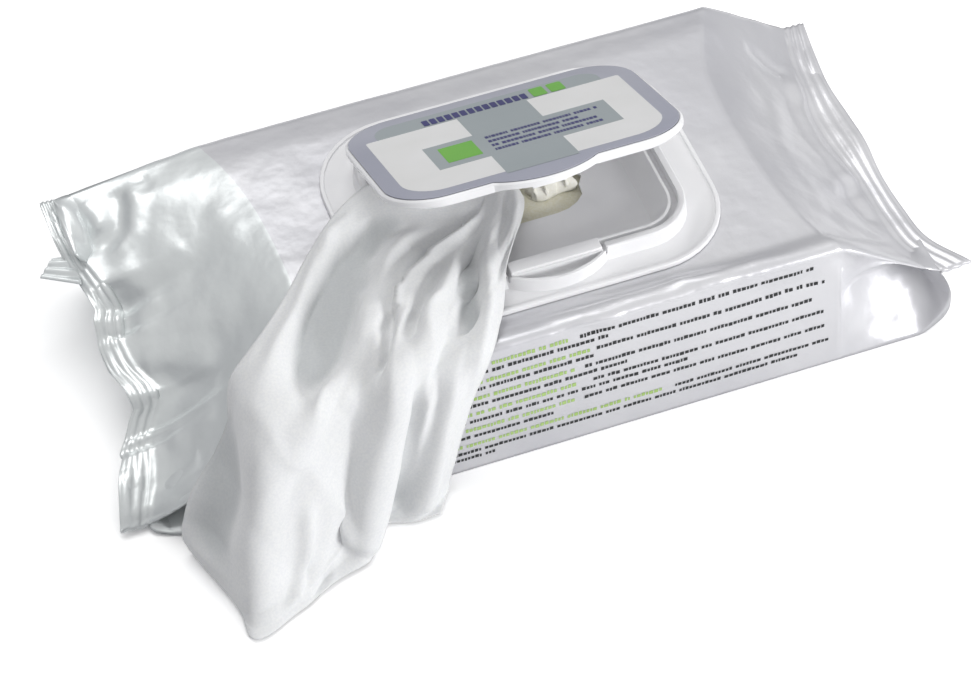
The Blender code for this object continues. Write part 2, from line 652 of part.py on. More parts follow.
def build_next_wipe(parts):
    """Crumpled top of the next wipe, standing in the right half of the orifice."""
    base = STACK_TOP + CLEARANCE + WIPE_THICKNESS / 4
    left = THUMB_X + NEXT_WIPE_LEFT
    right = THUMB_X + ORIFICE_LENGTH / 2 - NEXT_WIPE_PLAY
    height = TRAY_FLOOR + NEXT_WIPE_RISE - base
    depth = (ORIFICE_WIDTH / 2 - NEXT_WIPE_PLAY) / 2
    columns, steps = 24, 5
    rows = []
    for step in range(steps + 1):
        share = step / steps
        row = []
        for column in range(columns + 1):
            along = column / columns
            turn = 3 * pi * along
            x = lerp(left, right, along) - NEXT_WIPE_CURL * share * sin(turn)
            y = depth * cos(turn) * lerp(0.8, 1.0, share) + NEXT_WIPE_SWAY * (1 - 2 * along) * share
            z = base + height * share * (0.75 + 0.25 * sin(5 * pi * along + 0.6))
            row.append((x, y, z))
        rows.append(row)
    cloth = plastic("nonwoven", (0.87, 0.87, 0.85), 0.9)
    return sheet("next_wipe", parts, rows, WIPE_THICKNESS * 0.8, cloth)


def wipe_cage():
    """Rows of the pulled wipe from its neck in the orifice to its hem, each from left to right.

    Every row is set against what carries it: tray, rim, film top, front ridge or floor.
    """
    over_rim = RIM_TOP + WIPE_THICKNESS / 2 + CLEARANCE
    over_film = PACK_HEIGHT + FRONT_RIDGE_RISE + WIPE_THICKNESS / 2 + CLEARANCE
    front = -HALF_WIDTH - SIDE_SWELL - WIPE_THICKNESS / 2 - CLEARANCE
    floor = WIPE_THICKNESS / 2 + CLEARANCE
    left = FRAME_X - COLLAR_LENGTH / 2
    tray = TRAY_FLOOR

    def row(*points):
        return [Vector((x, y, z)) for x, y, z in points]

    def mm(value, base=0.0):
        return base + value * MM

    return [
        row((mm(-17), mm(5), mm(0.6, tray)), (mm(-16), mm(-2), mm(0.6, tray)), (mm(-13), mm(-7), mm(0.6, tray)),
            (mm(-9), mm(-9), mm(0.6, tray)), (mm(-5), mm(-7), mm(0.6, tray)), (mm(-3), mm(-3), mm(0.6, tray)),
            (mm(-1), mm(1), mm(0.6, tray)), (mm(1.5), mm(-2), mm(0.6, tray)), (mm(2), mm(-7), mm(0.6, tray))),
        row((mm(-24), mm(10), mm(4.4, tray)), (mm(-25), mm(0), mm(4.6, tray)), (mm(-24), mm(-9), mm(5.0, tray)),
            (mm(-20), mm(-14), mm(5.0, tray)), (mm(-15), mm(-15), mm(6.0, tray)), (mm(-11), mm(-15), mm(5.6, tray)),
            (mm(-8), mm(-15), mm(5.0, tray)), (mm(-5), mm(-15), mm(6.4, tray)), (mm(-2), mm(-14), mm(4.4, tray))),
        row((mm(2, left), mm(15), mm(0.2, over_rim)), (mm(1, left), mm(0), mm(0.6, over_rim)),
            (mm(3, left), mm(-16), mm(0.5, over_rim)), (mm(8, left), mm(-30), mm(0.8, over_rim)),
            (mm(15, left), mm(-37), mm(2.2, over_rim)), (mm(21, left), mm(-39), mm(1.0, over_rim)),
            (mm(27, left), mm(-40), mm(2.6, over_rim)), (mm(31, left), mm(-40), mm(1.2, over_rim)),
            (mm(34, left), mm(-39), mm(1.4, over_rim))),
        row((mm(-76), mm(-4), mm(0.2, over_film)), (mm(-75), mm(-18), mm(2.6, over_film)),
            (mm(-71), mm(-32), mm(1.4, over_film)), (mm(-64), mm(-43), mm(3.2, over_film)),
            (mm(-56), mm(-50), mm(2.6, over_film)), (mm(-48), mm(-54), mm(5.4, over_film)),
            (mm(-39), mm(-55), mm(3.0, over_film)), (mm(-31), mm(-55), mm(4.6, over_film)),
            (mm(-24), mm(-54), mm(1.2, over_film))),
        row((mm(-107), mm(-42), mm(1.0, over_film)), (mm(-105), mm(-56), mm(1.8, over_film)),
            (mm(-98), mm(-1, front), mm(-1.0, over_film)), (mm(-86), mm(0, front), mm(0.4, over_film)),
            (mm(-75), mm(0, front), mm(-0.4, over_film)), (mm(-64), mm(-2, front), mm(3.0, over_film)),
            (mm(-54), mm(0, front), mm(0.4, over_film)), (mm(-44), mm(-1, front), mm(1.8, over_film)),
            (mm(-33), mm(0.4, front), mm(0.0, over_film))),
        row((mm(-129), mm(-55), mm(40)), (mm(-122), mm(-6, front), mm(42)),
            (mm(-112), mm(-9, front), mm(43)), (mm(-98), mm(-4, front), mm(44)),
            (mm(-84), mm(-3, front), mm(44)), (mm(-71), mm(-8, front), mm(45)),
            (mm(-60), mm(-2, front), mm(43)), (mm(-50), mm(-4, front), mm(44)),
            (mm(-40), mm(-1, front), mm(44))),
        row((mm(-143), mm(-63), mm(18)), (mm(-136), mm(-12, front), mm(19)),
            (mm(-124), mm(-22, front), mm(22)), (mm(-107), mm(-17, front), mm(24)),
            (mm(-92), mm(-8, front), mm(22)), (mm(-80), mm(-15, front), mm(23)),
            (mm(-67), mm(-4, front), mm(19)), (mm(-57), mm(-7, front), mm(18)),
            (mm(-48), mm(-2, front), mm(18))),
        row((mm(-143), mm(-66), mm(2.4, floor)), (mm(-137), mm(-18, front), mm(2.0, floor)),
            (mm(-130), mm(-33, front), mm(4, floor)), (mm(-112), mm(-28, front), mm(6, floor)),
            (mm(-96), mm(-16, front), mm(5, floor)), (mm(-86), mm(-20, front), mm(5, floor)),
            (mm(-74), mm(-7, front), mm(2.5, floor)), (mm(-63), mm(-10, front), mm(3, floor)),
            (mm(-52), mm(-4, front), mm(2.5, floor))),
        row((mm(-138), mm(-67), mm(0.2, floor)), (mm(-131), mm(-80), mm(0.2, floor)),
            (mm(-134), mm(-109), mm(0.2, floor)), (mm(-116), mm(-104), mm(0.4, floor)),
            (mm(-101), mm(-97), mm(0.8, floor)), (mm(-88), mm(-92), mm(0.4, floor)),
            (mm(-79), mm(-80), mm(0.3, floor)), (mm(-68), mm(-82), mm(0.3, floor)),
            (mm(-58), mm(-82), mm(0.3, floor))),
    ]


def build_pulled_wipe(parts):
    cage = wipe_cage()
    rows = len(cage) - 1
    columns = len(cage[0]) - 1
    surface = []
    for i in range(rows * SPLINE_STEPS + 1):
        lines = [spline([row[c] for row in cage], i / (rows * SPLINE_STEPS)) for c in range(columns + 1)]
        surface.append([spline(lines, j / (columns * SPLINE_STEPS)) for j in range(columns * SPLINE_STEPS + 1)])
    return sheet("pulled_wipe", parts, surface, WIPE_THICKNESS, bpy.data.materials["nonwoven"])


def build():
    clear_scene()
    parts = new_collection("wet_wipes_pack")
    tools = new_collection("cutters")
    build_pouch(parts, tools)
    build_frame(parts, tools)
    lid = build_lid(parts, tools)
    build_label(parts, lid)
    build_stack(parts)
    build_next_wipe(parts)
    build_pulled_wipe(parts)
    bpy.context.view_layer.update()


build()
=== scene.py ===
"""Looks of the wet wipes pack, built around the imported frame. Metres, +Z up."""
import json
from collections import namedtuple
from math import cos, pi, radians, sin, sqrt

import bmesh
import bpy
import numpy as np
from mathutils import Matrix, Vector
from mathutils.bvhtree import BVHTree


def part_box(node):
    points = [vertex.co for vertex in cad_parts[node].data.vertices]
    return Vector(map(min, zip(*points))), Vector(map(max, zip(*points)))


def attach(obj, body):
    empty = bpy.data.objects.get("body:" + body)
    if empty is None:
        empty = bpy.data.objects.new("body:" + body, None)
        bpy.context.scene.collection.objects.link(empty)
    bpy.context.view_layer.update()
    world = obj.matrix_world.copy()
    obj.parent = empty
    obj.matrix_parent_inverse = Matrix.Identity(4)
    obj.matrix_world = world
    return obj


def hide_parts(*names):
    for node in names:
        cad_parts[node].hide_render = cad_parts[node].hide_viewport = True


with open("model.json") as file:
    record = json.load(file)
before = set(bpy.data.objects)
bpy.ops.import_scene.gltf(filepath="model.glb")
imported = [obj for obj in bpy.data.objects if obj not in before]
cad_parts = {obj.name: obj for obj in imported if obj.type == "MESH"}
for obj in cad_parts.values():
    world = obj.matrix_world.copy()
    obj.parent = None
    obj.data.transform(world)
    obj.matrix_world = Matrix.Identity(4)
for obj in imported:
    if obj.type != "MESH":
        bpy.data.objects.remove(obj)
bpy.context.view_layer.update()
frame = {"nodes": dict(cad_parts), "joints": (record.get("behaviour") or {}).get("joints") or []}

MM = 0.001

# Sizes shared with the solids
PACK_WIDTH = 133.0 * MM
PACK_HEIGHT = 57.0 * MM
SEAL_THICKNESS = 0.9 * MM
FRONT_RIDGE_RISE = 2.4 * MM
BACK_EDGE_DROP = 1.8 * MM
EDGE_ROUND = 3.0 * MM
SIDE_SWELL = 1.2 * MM
EDGE_ROUND_SHARE = 0.45
BOTTOM_LIFT_START = 0.55
BOTTOM_LIFT_POWER = 1.3
DRAW_IN_POWER = 1.5
FOLD_START_POWER = 2
SIDE_OPEN_POWER = 6
HALF_WIDTH = PACK_WIDTH / 2
frame_low, frame_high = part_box("lid_frame")
FLANGE_FRONT = frame_low.y
FLANGE_BACK = frame_high.y
FLANGE_LEFT = frame_low.x
FLANGE_RIGHT = frame_high.x
HINGE = Vector(frame["joints"][0]["pos_m"])
LID_OPEN = radians(24.5)

# Film skin
SKIN = 0.25 * MM
TOP_STEPS = 110
SIDE_PANEL_STEPS = 36
FIN_STEPS = 12
LEFT_SLOPE_STEPS = 38
RIGHT_SLOPE_STEPS = 28
BODY_STEPS = 120
SEAL_RIB = 0.35 * MM
SEAL_RIB_COUNT = 3
FLANGE_CLEAR = 9.0 * MM
WINDOW_MARGIN_X = 22.0 * MM
WINDOW_MARGIN_Y = 16.5 * MM
EAR_RIB = 0.4 * MM
EAR_STEPS_ACROSS = 24
EAR_STEPS_OUT = 16

# Soft waves of the film: length in mm, seed, depth in mm on the level top and on the slopes
FILM_WAVES = ((34.0, 3, 0.12, 0.45), (13.0, 4, 0.03, 0.16))
SLOPE_START = 80.0 * MM
SLOPE_EASE = 30.0 * MM
TOP_ZONE = 6.0 * MM
BOTTOM_STILL = 1.0 * MM
BOTTOM_EASE = 6.0 * MM

# Wipes
WIPE_THICKNESS = 0.5 * MM
WIPE_CELLS_ALONG = 16
WIPE_CELLS_ACROSS = 12
WIPE_SPAN = (130.0 * MM, 175.0 * MM)
WIPE_LIFT = 0.8 * MM
FLOOR_LIFT = 0.3 * MM
NECK_EASE = 0.12
HEM_START = 0.8
HEM_FLAT = 0.85

# Soft waves of the wipe: length in mm, seed and depth in mm
WIPE_WAVES = ((24.0, 7, 0.3), (8.0, 8, 0.06))

# How the wipe feels for what carries it, and how its deepest places are evened out
ROOM_REACH = 20.0 * MM
ROOM_START = 0.5 * MM
UPWARD = 0.2
EVEN_STEPS = 3
SOFTEN_STEPS = 6

# Depth of a fold, in mm, at which the painted shade in its valley is full, and the colour of that painted
# shade
FOLD_SHADE_DEPTH = 5.0
PAINTED_FOLD_SHADE = (0.72, 0.735, 0.74, 1.0)

# Top of the next wipe, in mm where it isn't a share
TUFT_STEPS_ALONG = 120
TUFT_STEPS_OVER = 36
TUFT_DEPTH = 4.2
TUFT_SWAY = 0.8
TUFT_PLEATS = 4.5
TUFT_WAVES = 2.5
TUFT_PLEAT_DEPTH = 1.3
TUFT_PLEAT_SHIFT = 1.2
TUFT_RIGHT_PLAY = 1.5
TUFT_HEIGHT = 0.80
TUFT_HEIGHT_WAVE = 0.16
TUFT_HEIGHT_PLEAT = 0.14
TUFT_END_WIDTH = 0.45
TUFT_ROUNDNESS = 0.7

# Mouldings: how their solids' edges are found and rounded
MERGE_DISTANCE = 0.001 * MM
FLAT_ANGLE = radians(0.3)
BEVEL_ANGLE = radians(32)
SHARP_ANGLE = radians(38)
MOULDING_BEVEL = 0.3 * MM
LABEL_BEVEL = 0.08 * MM

# How bright the floor looks to the camera alone, so that it is white but for its shadow
FLOOR_SEEN = 1.36

# Point that the lamps shine on
LAMP_AIM = Vector((0.0, 0.0, 30.0 * MM))

# Camera, fitted to the photograph
CAMERA_TARGET = Vector((-24.9 * MM, -41.8 * MM, 35.0 * MM))
CAMERA_AZIMUTH = radians(-18.0)
CAMERA_ELEVATION = radians(48.79)
CAMERA_ROLL = radians(-2.5)
CAMERA_DISTANCE = 1.14133
CAMERA_LENS = 122.15


def lerp(a, b, share):
    return a + (b - a) * share


def smooth(share):
    """Ease from 0 to 1 with level ends."""
    share = np.clip(share, 0.0, 1.0)
    return share * share * (3.0 - 2.0 * share)


def spline(points, place):
    """Catmull-Rom curve through evenly spaced points; place is one share from 0 to 1."""
    span = len(points) - 1
    index = min(int(place * span), span - 1)
    t = place * span - index
    p1, p2 = points[index], points[index + 1]
    p0 = points[index - 1] if index else p1 * 2 - p2
    p3 = points[index + 2] if index + 2 <= span else p2 * 2 - p1
    return (p1 * 2 + (p2 - p0) * t + (p0 * 2 - p1 * 5 + p2 * 4 - p3) * t ** 2
            + (p1 * 3 - p0 - p2 * 3 + p3) * t ** 3) * 0.5


# Meshes

def new_object(name, points, faces):
    mesh = bpy.data.meshes.new(name)
    mesh.from_pydata([tuple(point) for point in points], [], faces)
    mesh.shade_smooth()
    item = bpy.data.objects.new(name, mesh)
    bpy.context.scene.collection.objects.link(item)
    return item


def grid_mesh(name, grid, closed=False):
    """Quads over rows of points; closed joins each row's end to its start."""
    rows, columns = grid.shape[:2]
    faces = []
    for i in range(rows - 1):
        for j in range(columns if closed else columns - 1):
            k = (j + 1) % columns
            faces.append((i * columns + j, i * columns + k, (i + 1) * columns + k, (i + 1) * columns + j))
    return new_object(name, grid.reshape(-1, 3).tolist(), faces)


def coordinates(item):
    points = np.empty(len(item.data.vertices) * 3, np.float64)
    item.data.vertices.foreach_get("co", points)
    return points.reshape(-1, 3)


def set_coordinates(item, points):
    item.data.vertices.foreach_set("co", points.ravel())
    item.data.update()


def normals(item):
    found = np.empty(len(item.data.vertices) * 3, np.float32)
    item.data.vertex_normals.foreach_get("vector", found)
    return found.reshape(-1, 3).astype(np.float64)


def apply_modifiers(item):
    bpy.context.view_layer.update()
    graph = bpy.context.evaluated_depsgraph_get()
    mesh = bpy.data.meshes.new_from_object(item.evaluated_get(graph))
    item.modifiers.clear()
    old = item.data
    item.data = mesh
    bpy.data.meshes.remove(old)


def thicken(item, thickness):
    solid = item.modifiers.new("thickness", "SOLIDIFY")
    solid.thickness = thickness
    solid.offset = -1.0
    apply_modifiers(item)


# Creases: lines along which a surface rises or sinks. Waves: sums of sines in random directions

Crease = namedtuple("Crease", "height width sharp points")

# How steeply folds fade out towards the ends of their lines
END_SHARE = 0.02
CREASE_FADE = 2.0
STEP_FADE = 1.6

# Number of sines in a wave, their lengths in shares of its own, and what their sum is divided by
SINE_COUNT = 9
SINE_LENGTHS = (0.7, 1.5)
SINE_DIVISOR = 4.0


def nearest_on_line(places, line):
    """Distance to a line, share of it there, and 1 on its left or -1 on its right in the first two axes."""
    nearest = np.full(len(places), np.inf)
    side = np.zeros(len(places))
    along = np.zeros(len(places))
    for index, (a, b) in enumerate(zip(line[:-1], line[1:])):
        run = b - a
        share = np.clip((places - a) @ run / (run @ run), 0.0, 1.0)
        off = places - (a + share[:, None] * run)
        gap = np.linalg.norm(off, axis=1)
        closer = gap < nearest
        nearest[closer] = gap[closer]
        side[closer] = np.sign(run[0] * off[closer, 1] - run[1] * off[closer, 0])
        along[closer] = (index + share[closer]) / (len(line) - 1)
    return nearest, along, side


def end_fade(along, steepness):
    """Share of a fold's rise that is left at a share of its line: little at both ends."""
    inside = np.clip(along, END_SHARE, 1.0 - END_SHARE)
    return np.clip(np.sin(pi * inside) * steepness, 0.0, 1.0)


def crease_height(places, crease):
    """Rise at each place, from the distance to the crease's line; it fades out at both ends."""
    nearest, along, _ = nearest_on_line(places, np.array(crease.points, float))
    reach = np.clip(1.0 - nearest / crease.width, 0.0, 1.0)
    profile = reach ** crease.sharp if crease.sharp else smooth(reach)
    return crease.height * profile * end_fade(along, CREASE_FADE)


def step_height(places, crease):
    """Rise on the left of the line and fall on its right, as where a layer ends over another."""
    nearest, along, side = nearest_on_line(places, np.array(crease.points, float))
    reach = np.clip(1.0 - nearest / crease.width, 0.0, 1.0)
    return crease.height * reach ** crease.sharp * side * end_fade(along, STEP_FADE)


def wobble(places, length, seed):
    """Soft random waves of about that length, the same at each run."""
    chance = np.random.default_rng(seed)
    total = np.zeros(len(places))
    for _ in range(SINE_COUNT):
        way = chance.normal(size=places.shape[1])
        way *= 2 * pi / (length * chance.uniform(*SINE_LENGTHS)) / np.linalg.norm(way)
        total += np.sin(places @ way + chance.uniform(0, 2 * pi))
    return total / SINE_DIVISOR


# Pouch, with the same formulas as its solid

PouchEnd = namedtuple("PouchEnd", "side shoulder slope seal_width front_y front_z back_y back_z "
                                  "bulge softness inner outer wave shoulder_bow")

LEFT_END = PouchEnd(-1, 100.0 * MM, 41.0 * MM, 9.0 * MM, -HALF_WIDTH + 15.0 * MM, 3.2 * MM,
                    HALF_WIDTH, 46.0 * MM, 8.0 * MM, 0.35,
                    (12, 5, 2, -3.5, 0.5, 0, 2.5, 6, 8.7),
                    (13, 8.5, 3, -2.3, -0.1, -0.2, 0, 3.4, 4.5),
                    (0, 2.5, -2, 3, -2.5, 2.5, -3, 1.5, 0),
                    (-4, -13.5, -15, -12.5, -4))
RIGHT_END = PouchEnd(1, 97.0 * MM, 28.0 * MM, 10.0 * MM, -HALF_WIDTH, 31.0 * MM,
                     HALF_WIDTH, 31.0 * MM, 14.0 * MM, 0.2,
                     (9, 1.5, 0, 0, -1.5, -2, 0, 2.5, 7),
                     (10.5, 1.5, -0.2, -1.3, 0, 0.1, 0.1, 1.5, 4.3),
                     (1, 0, -1, 0.5, 1.5, 0.5, -0.5, 0.5, 0),
                     (-3, -11, -13, -11.5, 1))

# Crumpled left seal: share from front to back, lift and inward reach in mm
SEAL_FOLDS = ((0, -1, 0), (0.012, -1, 0), (0.03, 1.2, 0), (0.12, 1.4, 0), (0.2, 1, 0.5),
              (0.225, -2, -1), (0.245, 0.5, 0), (0.262, -2.2, 0.5), (0.3, 0, 2),
              (0.32, 2, 3.5), (0.345, 3.6, 2), (0.4, 1, 0), (0.435, 0.3, -0.5), (0.5, 0.8, 0),
              (0.54, 0.8, -0.5), (0.556, -0.5, 0), (0.6, 0.3, 0.5), (0.633, -2, 2.2), (0.7, 3, 0.5),
              (0.755, 1.2, 0), (0.8, 0.3, -0.5), (1, 0, 0))


def seal_folds(end, across):
    """Extra lift and inward reach of the seal where it is crumpled."""
    if end.side > 0:
        return 0.0, 0.0
    places, lifts, reaches = zip(*SEAL_FOLDS)
    return np.interp(across, places, lifts) * MM, np.interp(across, places, reaches) * MM


def seal_point(end, across, outward, folded=1.0):
    """Middle of the seal's thickness; across and outward run from 0 to 1."""
    inner = spline(end.inner, across) * MM
    outer = end.seal_width + spline(end.outer, across) * MM
    reach = end.shoulder + end.slope + lerp(inner, outer, outward)
    wave = spline(end.wave, across) * MM * outward
    lift, inward = seal_folds(end, across)
    return np.array((end.side * (reach - inward * folded),
                     lerp(end.front_y, end.back_y, across),
                     lerp(end.front_z, end.back_z, across) + wave + lift * folded * lerp(1.0, 0.4, outward)))


def top_level(y):
    """Height of the film's top: level under the frame, a slack ridge in front, lower behind."""
    slack_start = FLANGE_FRONT - 2 * MM
    front = smooth((slack_start - y) / (slack_start + HALF_WIDTH - EDGE_ROUND))
    back = smooth((y - FLANGE_BACK) / (HALF_WIDTH - FLANGE_BACK))
    edge = max(0.0, abs(y) - (HALF_WIDTH - EDGE_ROUND)) / EDGE_ROUND
    return (PACK_HEIGHT + FRONT_RIDGE_RISE * front - BACK_EDGE_DROP * back
            - EDGE_ROUND * EDGE_ROUND_SHARE * edge ** 2)


def pouch_ring(end, reach):
    """Outer section of the pouch at a share of the slope from shoulder to seal."""
    half_seal = np.array((0.0, 0.0, SEAL_THICKNESS / 2))
    fall = lerp(reach, smooth(reach), end.softness)
    rise = max(0.0, (reach - BOTTOM_LIFT_START) / (1 - BOTTOM_LIFT_START)) ** BOTTOM_LIFT_POWER
    swell = end.side * end.bulge * sin(pi * reach * reach)
    top, bottom = [], []
    for step in range(TOP_STEPS + 1):
        across = step / TOP_STEPS
        y = lerp(-HALF_WIDTH, HALF_WIDTH, across)
        seal = seal_point(end, across, 0.0, reach ** FOLD_START_POWER)
        start = end.side * (end.shoulder + spline(end.shoulder_bow, across) * MM)
        x = lerp(start, seal[0], reach)
        low_x = lerp(end.side * end.shoulder, seal[0], reach) + swell
        y_here = lerp(y, seal[1], reach ** DRAW_IN_POWER)
        top.append(np.array((x, y_here, lerp(top_level(y), (seal + half_seal)[2], fall))))
        bottom.append(np.array((low_x, y_here, lerp(0.0, (seal - half_seal)[2], rise))))
    back = side_panel(top[-1], bottom[-1], top_level(HALF_WIDTH), -1)
    front = side_panel(top[0], bottom[0], top_level(-HALF_WIDTH), 1)
    return top + back + bottom[::-1] + front[::-1]


def side_panel(high, low, panel, inward):
    """Side of the pouch, which keeps its height and so folds inwards where its corners close."""
    gap = np.linalg.norm(high - low)
    tuck = sqrt(max((panel / 2) ** 2 - (gap / 2) ** 2, 0.0))
    openness = min(gap / panel, 1.0) ** SIDE_OPEN_POWER
    points = []
    for step in range(1, SIDE_PANEL_STEPS):
        share = step / SIDE_PANEL_STEPS
        point = lerp(high, low, share)
        fold = 1 - abs(2 * share - 1)
        point[1] += inward * (tuck * fold - SIDE_SWELL * openness * sin(pi * share))
        points.append(point)
    return points


def fin_rings(end):
    """Rings across the ribbed seal, from its inner to its outer edge."""
    rings = []
    up = np.array((0.0, 0.0, 1.0))
    for step in range(FIN_STEPS + 1):
        outward = step / FIN_STEPS
        rib = SEAL_RIB * sin(2 * pi * SEAL_RIB_COUNT * outward)
        middle = [seal_point(end, i / TOP_STEPS, outward) for i in range(TOP_STEPS + 1)]
        top = [point + up * (SEAL_THICKNESS / 2 + rib) for point in middle]
        bottom = [point + up * (rib - SEAL_THICKNESS / 2) for point in middle]
        back = [lerp(top[-1], bottom[-1], i / SIDE_PANEL_STEPS) for i in range(1, SIDE_PANEL_STEPS)]
        front = [lerp(bottom[0], top[0], i / SIDE_PANEL_STEPS) for i in range(1, SIDE_PANEL_STEPS)]
        rings.append(top + back + bottom[::-1] + front)
    return rings


# Creases of the film, in mm: rise, width, sharpness (0 is soft), line
FILM_CREASES = (
    Crease(-2, 6, 1, ((-150.6, 64.6, 46.1), (-145.8, 58.5, 45.2), (-143.5, 48.8, 41),
                      (-144.4, 42.8, 38.1))),
    Crease(1.1, 7, 0, ((-141, 62, 47), (-137.5, 55, 45), (-137, 49, 42))),
    Crease(-1.3, 6.5, 0, ((-128.5, 62, 48.5), (-129.4, 55.3, 48), (-132.3, 46.5, 44.4),
                          (-141.5, 43.1, 39.3))),
    Crease(1, 6, 0, ((-122, 62, 50), (-123, 52, 49), (-127, 43, 45), (-138, 37, 38))),
    Crease(-1, 4, 1, ((-119.7, 62.8, 51.6), (-118.1, 57.4, 52), (-122.9, 56.1, 50.5))),
    Crease(0.8, 9, 0, ((-96.5, 38.6, 57), (-101.4, 30.3, 56.5), (-98.7, 23.3, 57), (-105.2, 15.3, 54.3),
                       (-105.3, -3.5, 53.6))),
    Crease(0.7, 6, 1, ((-126.5, 15.6, 38.4), (-132.1, 14.3, 33.9), (-137.5, 10.6, 28.9))),
    Crease(-1.3, 8, 0, ((-139.7, 33.6, 36), (-139.4, 20.1, 30.7), (-141.3, 11.5, 26.8))),
    Crease(1.9, 9, 1.2, ((-140, 2, 24), (-132, -4, 28), (-124, -9, 33), (-117, -17, 39))),
    Crease(-1.2, 8, 0, ((-136, -8, 22), (-127, -17, 28), (-118, -26, 37))),
    Crease(1, 7, 1, ((-140, -29, 16), (-131.5, -31.6, 23.9), (-122, -32.3, 32.5))),
    Crease(-1, 6, 1, ((-146, -45, 8), (-139, -42, 15), (-131, -43, 23))),
    Crease(0.9, 12, 0, ((-112, 28, 50), (-122, 24, 43), (-134, 22, 35))),
    Crease(-0.9, 4.5, 1, ((97.2, 48.9, 56.5), (99.5, 33.1, 55.8), (103.8, 20.7, 52.2))),
    Crease(-0.8, 4, 0, ((96, 15, 56.9), (98.5, 11, 56.5))),
    Crease(1.5, 5, 1, ((131.1, 60.9, 33.9), (122.4, 34.8, 33), (118.6, 18.9, 34), (118.2, 1.1, 35),
                       (121.3, -13.5, 33.8), (122, -30.6, 33.6), (121.8, -44.7, 34.9))),
    Crease(1.4, 7, 1, ((113.9, 34.8, 41.4), (108, 10, 47), (103.3, -8.9, 53), (105.9, -29.1, 51),
                       (100.6, -43, 55.3))),
    Crease(1.3, 6, 1, ((125.2, -13.8, 31.7), (115, -21.5, 42), (104.9, -29.1, 51.5))),
    Crease(-1.7, 6, 1, ((122.1, -15.5, 34), (118, -26, 37), (120.4, -42.3, 35))),
    Crease(1, 5, 1, ((108, -36, 48), (114, -44, 42), (122, -50, 35))),
    Crease(-1, 5, 0, ((110, 52, 46), (116, 44, 40), (121, 40, 35))),
    Crease(1, 5, 1, ((92, -57, 58.3), (101.4, -60, 56.7), (112, -57, 44), (127.9, -51.4, 31.8))),
    Crease(-1.1, 5, 1, ((92.3, -66.7, 56.1), (97, -66.4, 51.5), (101.9, -66.2, 46.7))),
    Crease(1, 7, 1, ((105, -62, 30), (101, -64.3, 21.8), (104.6, -65.5, 3.9))),
    Crease(-0.9, 8, 0, ((117.8, -58.4, 18.7), (116.7, -61.4, 9.8), (112.3, -62.6, 4.8))),
    Crease(0.8, 4, 1, ((-24, -60, 58.4), (-5.3, -59.6, 58.4), (8.7, -60.6, 58.6), (25.8, -61.2, 58.5),
                       (37.1, -59.9, 58.5), (51.6, -62.5, 58.4), (67.4, -62.1, 58.4), (80.3, -64.3, 58.2))),
    Crease(0.9, 3.5, 1, ((34.9, -60.1, 58.6), (43.3, -63.7, 58.3), (55, -64.7, 57.3))),
    Crease(-0.8, 3.5, 1, ((38, -64, 57.6), (47, -66, 56.3), (60, -66.7, 55.3))),
    Crease(0.8, 3.5, 1, ((-4.3, -62.8, 58.3), (7.1, -65, 57.2), (15.1, -66, 55.8))),
    Crease(-0.8, 3, 1, ((-12, -63.5, 57.8), (-2, -66, 56), (9, -67, 53.5))),
    Crease(-0.7, 6, 0, ((60, -67, 50), (75, -67, 47), (88, -67, 49))),
)


def build_skin():
    left = [1.0 - step / LEFT_SLOPE_STEPS for step in range(1, LEFT_SLOPE_STEPS + 1)]
    right = [step / RIGHT_SLOPE_STEPS for step in range(RIGHT_SLOPE_STEPS)]
    rings = fin_rings(LEFT_END)[::-1]
    rings += [pouch_ring(LEFT_END, reach) for reach in left]
    first, last = np.array(rings[-1]), np.array(pouch_ring(RIGHT_END, 0.0))
    rings += [list(lerp(first, last, step / BODY_STEPS)) for step in range(1, BODY_STEPS)]
    rings += [pouch_ring(RIGHT_END, reach) for reach in right]
    rings += fin_rings(RIGHT_END)
    skin = grid_mesh("film_skin", np.array(rings), closed=True)
    skin.data.flip_normals()
    around = len(rings[0])
    silver_rings = FIN_STEPS + LEFT_SLOPE_STEPS
    kinds = np.arange(len(skin.data.polygons)) // around < silver_rings
    skin.data.polygons.foreach_set("material_index", kinds.astype(np.int32))
    crease_film(skin)
    cut_window(skin)
    return skin


def crease_film(skin):
    """Creases and soft waves, fading out near the frame and on the bottom."""
    points = coordinates(skin)
    out_x = np.maximum(FLANGE_LEFT - points[:, 0], points[:, 0] - FLANGE_RIGHT)
    out_y = np.maximum(FLANGE_FRONT - points[:, 1], points[:, 1] - FLANGE_BACK)
    apart = np.maximum(out_x, out_y)
    free = np.where(points[:, 2] > PACK_HEIGHT - TOP_ZONE, smooth(apart / FLANGE_CLEAR), 1.0)
    free *= smooth((points[:, 2] - BOTTOM_STILL) / BOTTOM_EASE)
    rise = sum(crease_height(points / MM, crease) for crease in FILM_CREASES)
    sloping = smooth((np.abs(points[:, 0]) - SLOPE_START) / SLOPE_EASE)
    for length, seed, level, steep in FILM_WAVES:
        rise += wobble(points / MM, length, seed) * lerp(level, steep, sloping)
    points += normals(skin) * (rise * free * MM)[:, None]
    set_coordinates(skin, points)


def cut_window(skin):
    """Open the film's top below the frame."""
    body = bmesh.new()
    body.from_mesh(skin.data)
    gone = []
    for face in body.faces:
        middle = face.calc_center_median()
        within_x = FLANGE_LEFT + WINDOW_MARGIN_X < middle.x < FLANGE_RIGHT - WINDOW_MARGIN_X
        within_y = FLANGE_FRONT + WINDOW_MARGIN_Y < middle.y < FLANGE_BACK - WINDOW_MARGIN_Y
        if middle.z > PACK_HEIGHT - MM and within_x and within_y:
            gone.append(face)
    bmesh.ops.delete(body, geom=gone, context="FACES")
    body.to_mesh(skin.data)
    body.free()
    skin.data.shade_smooth()


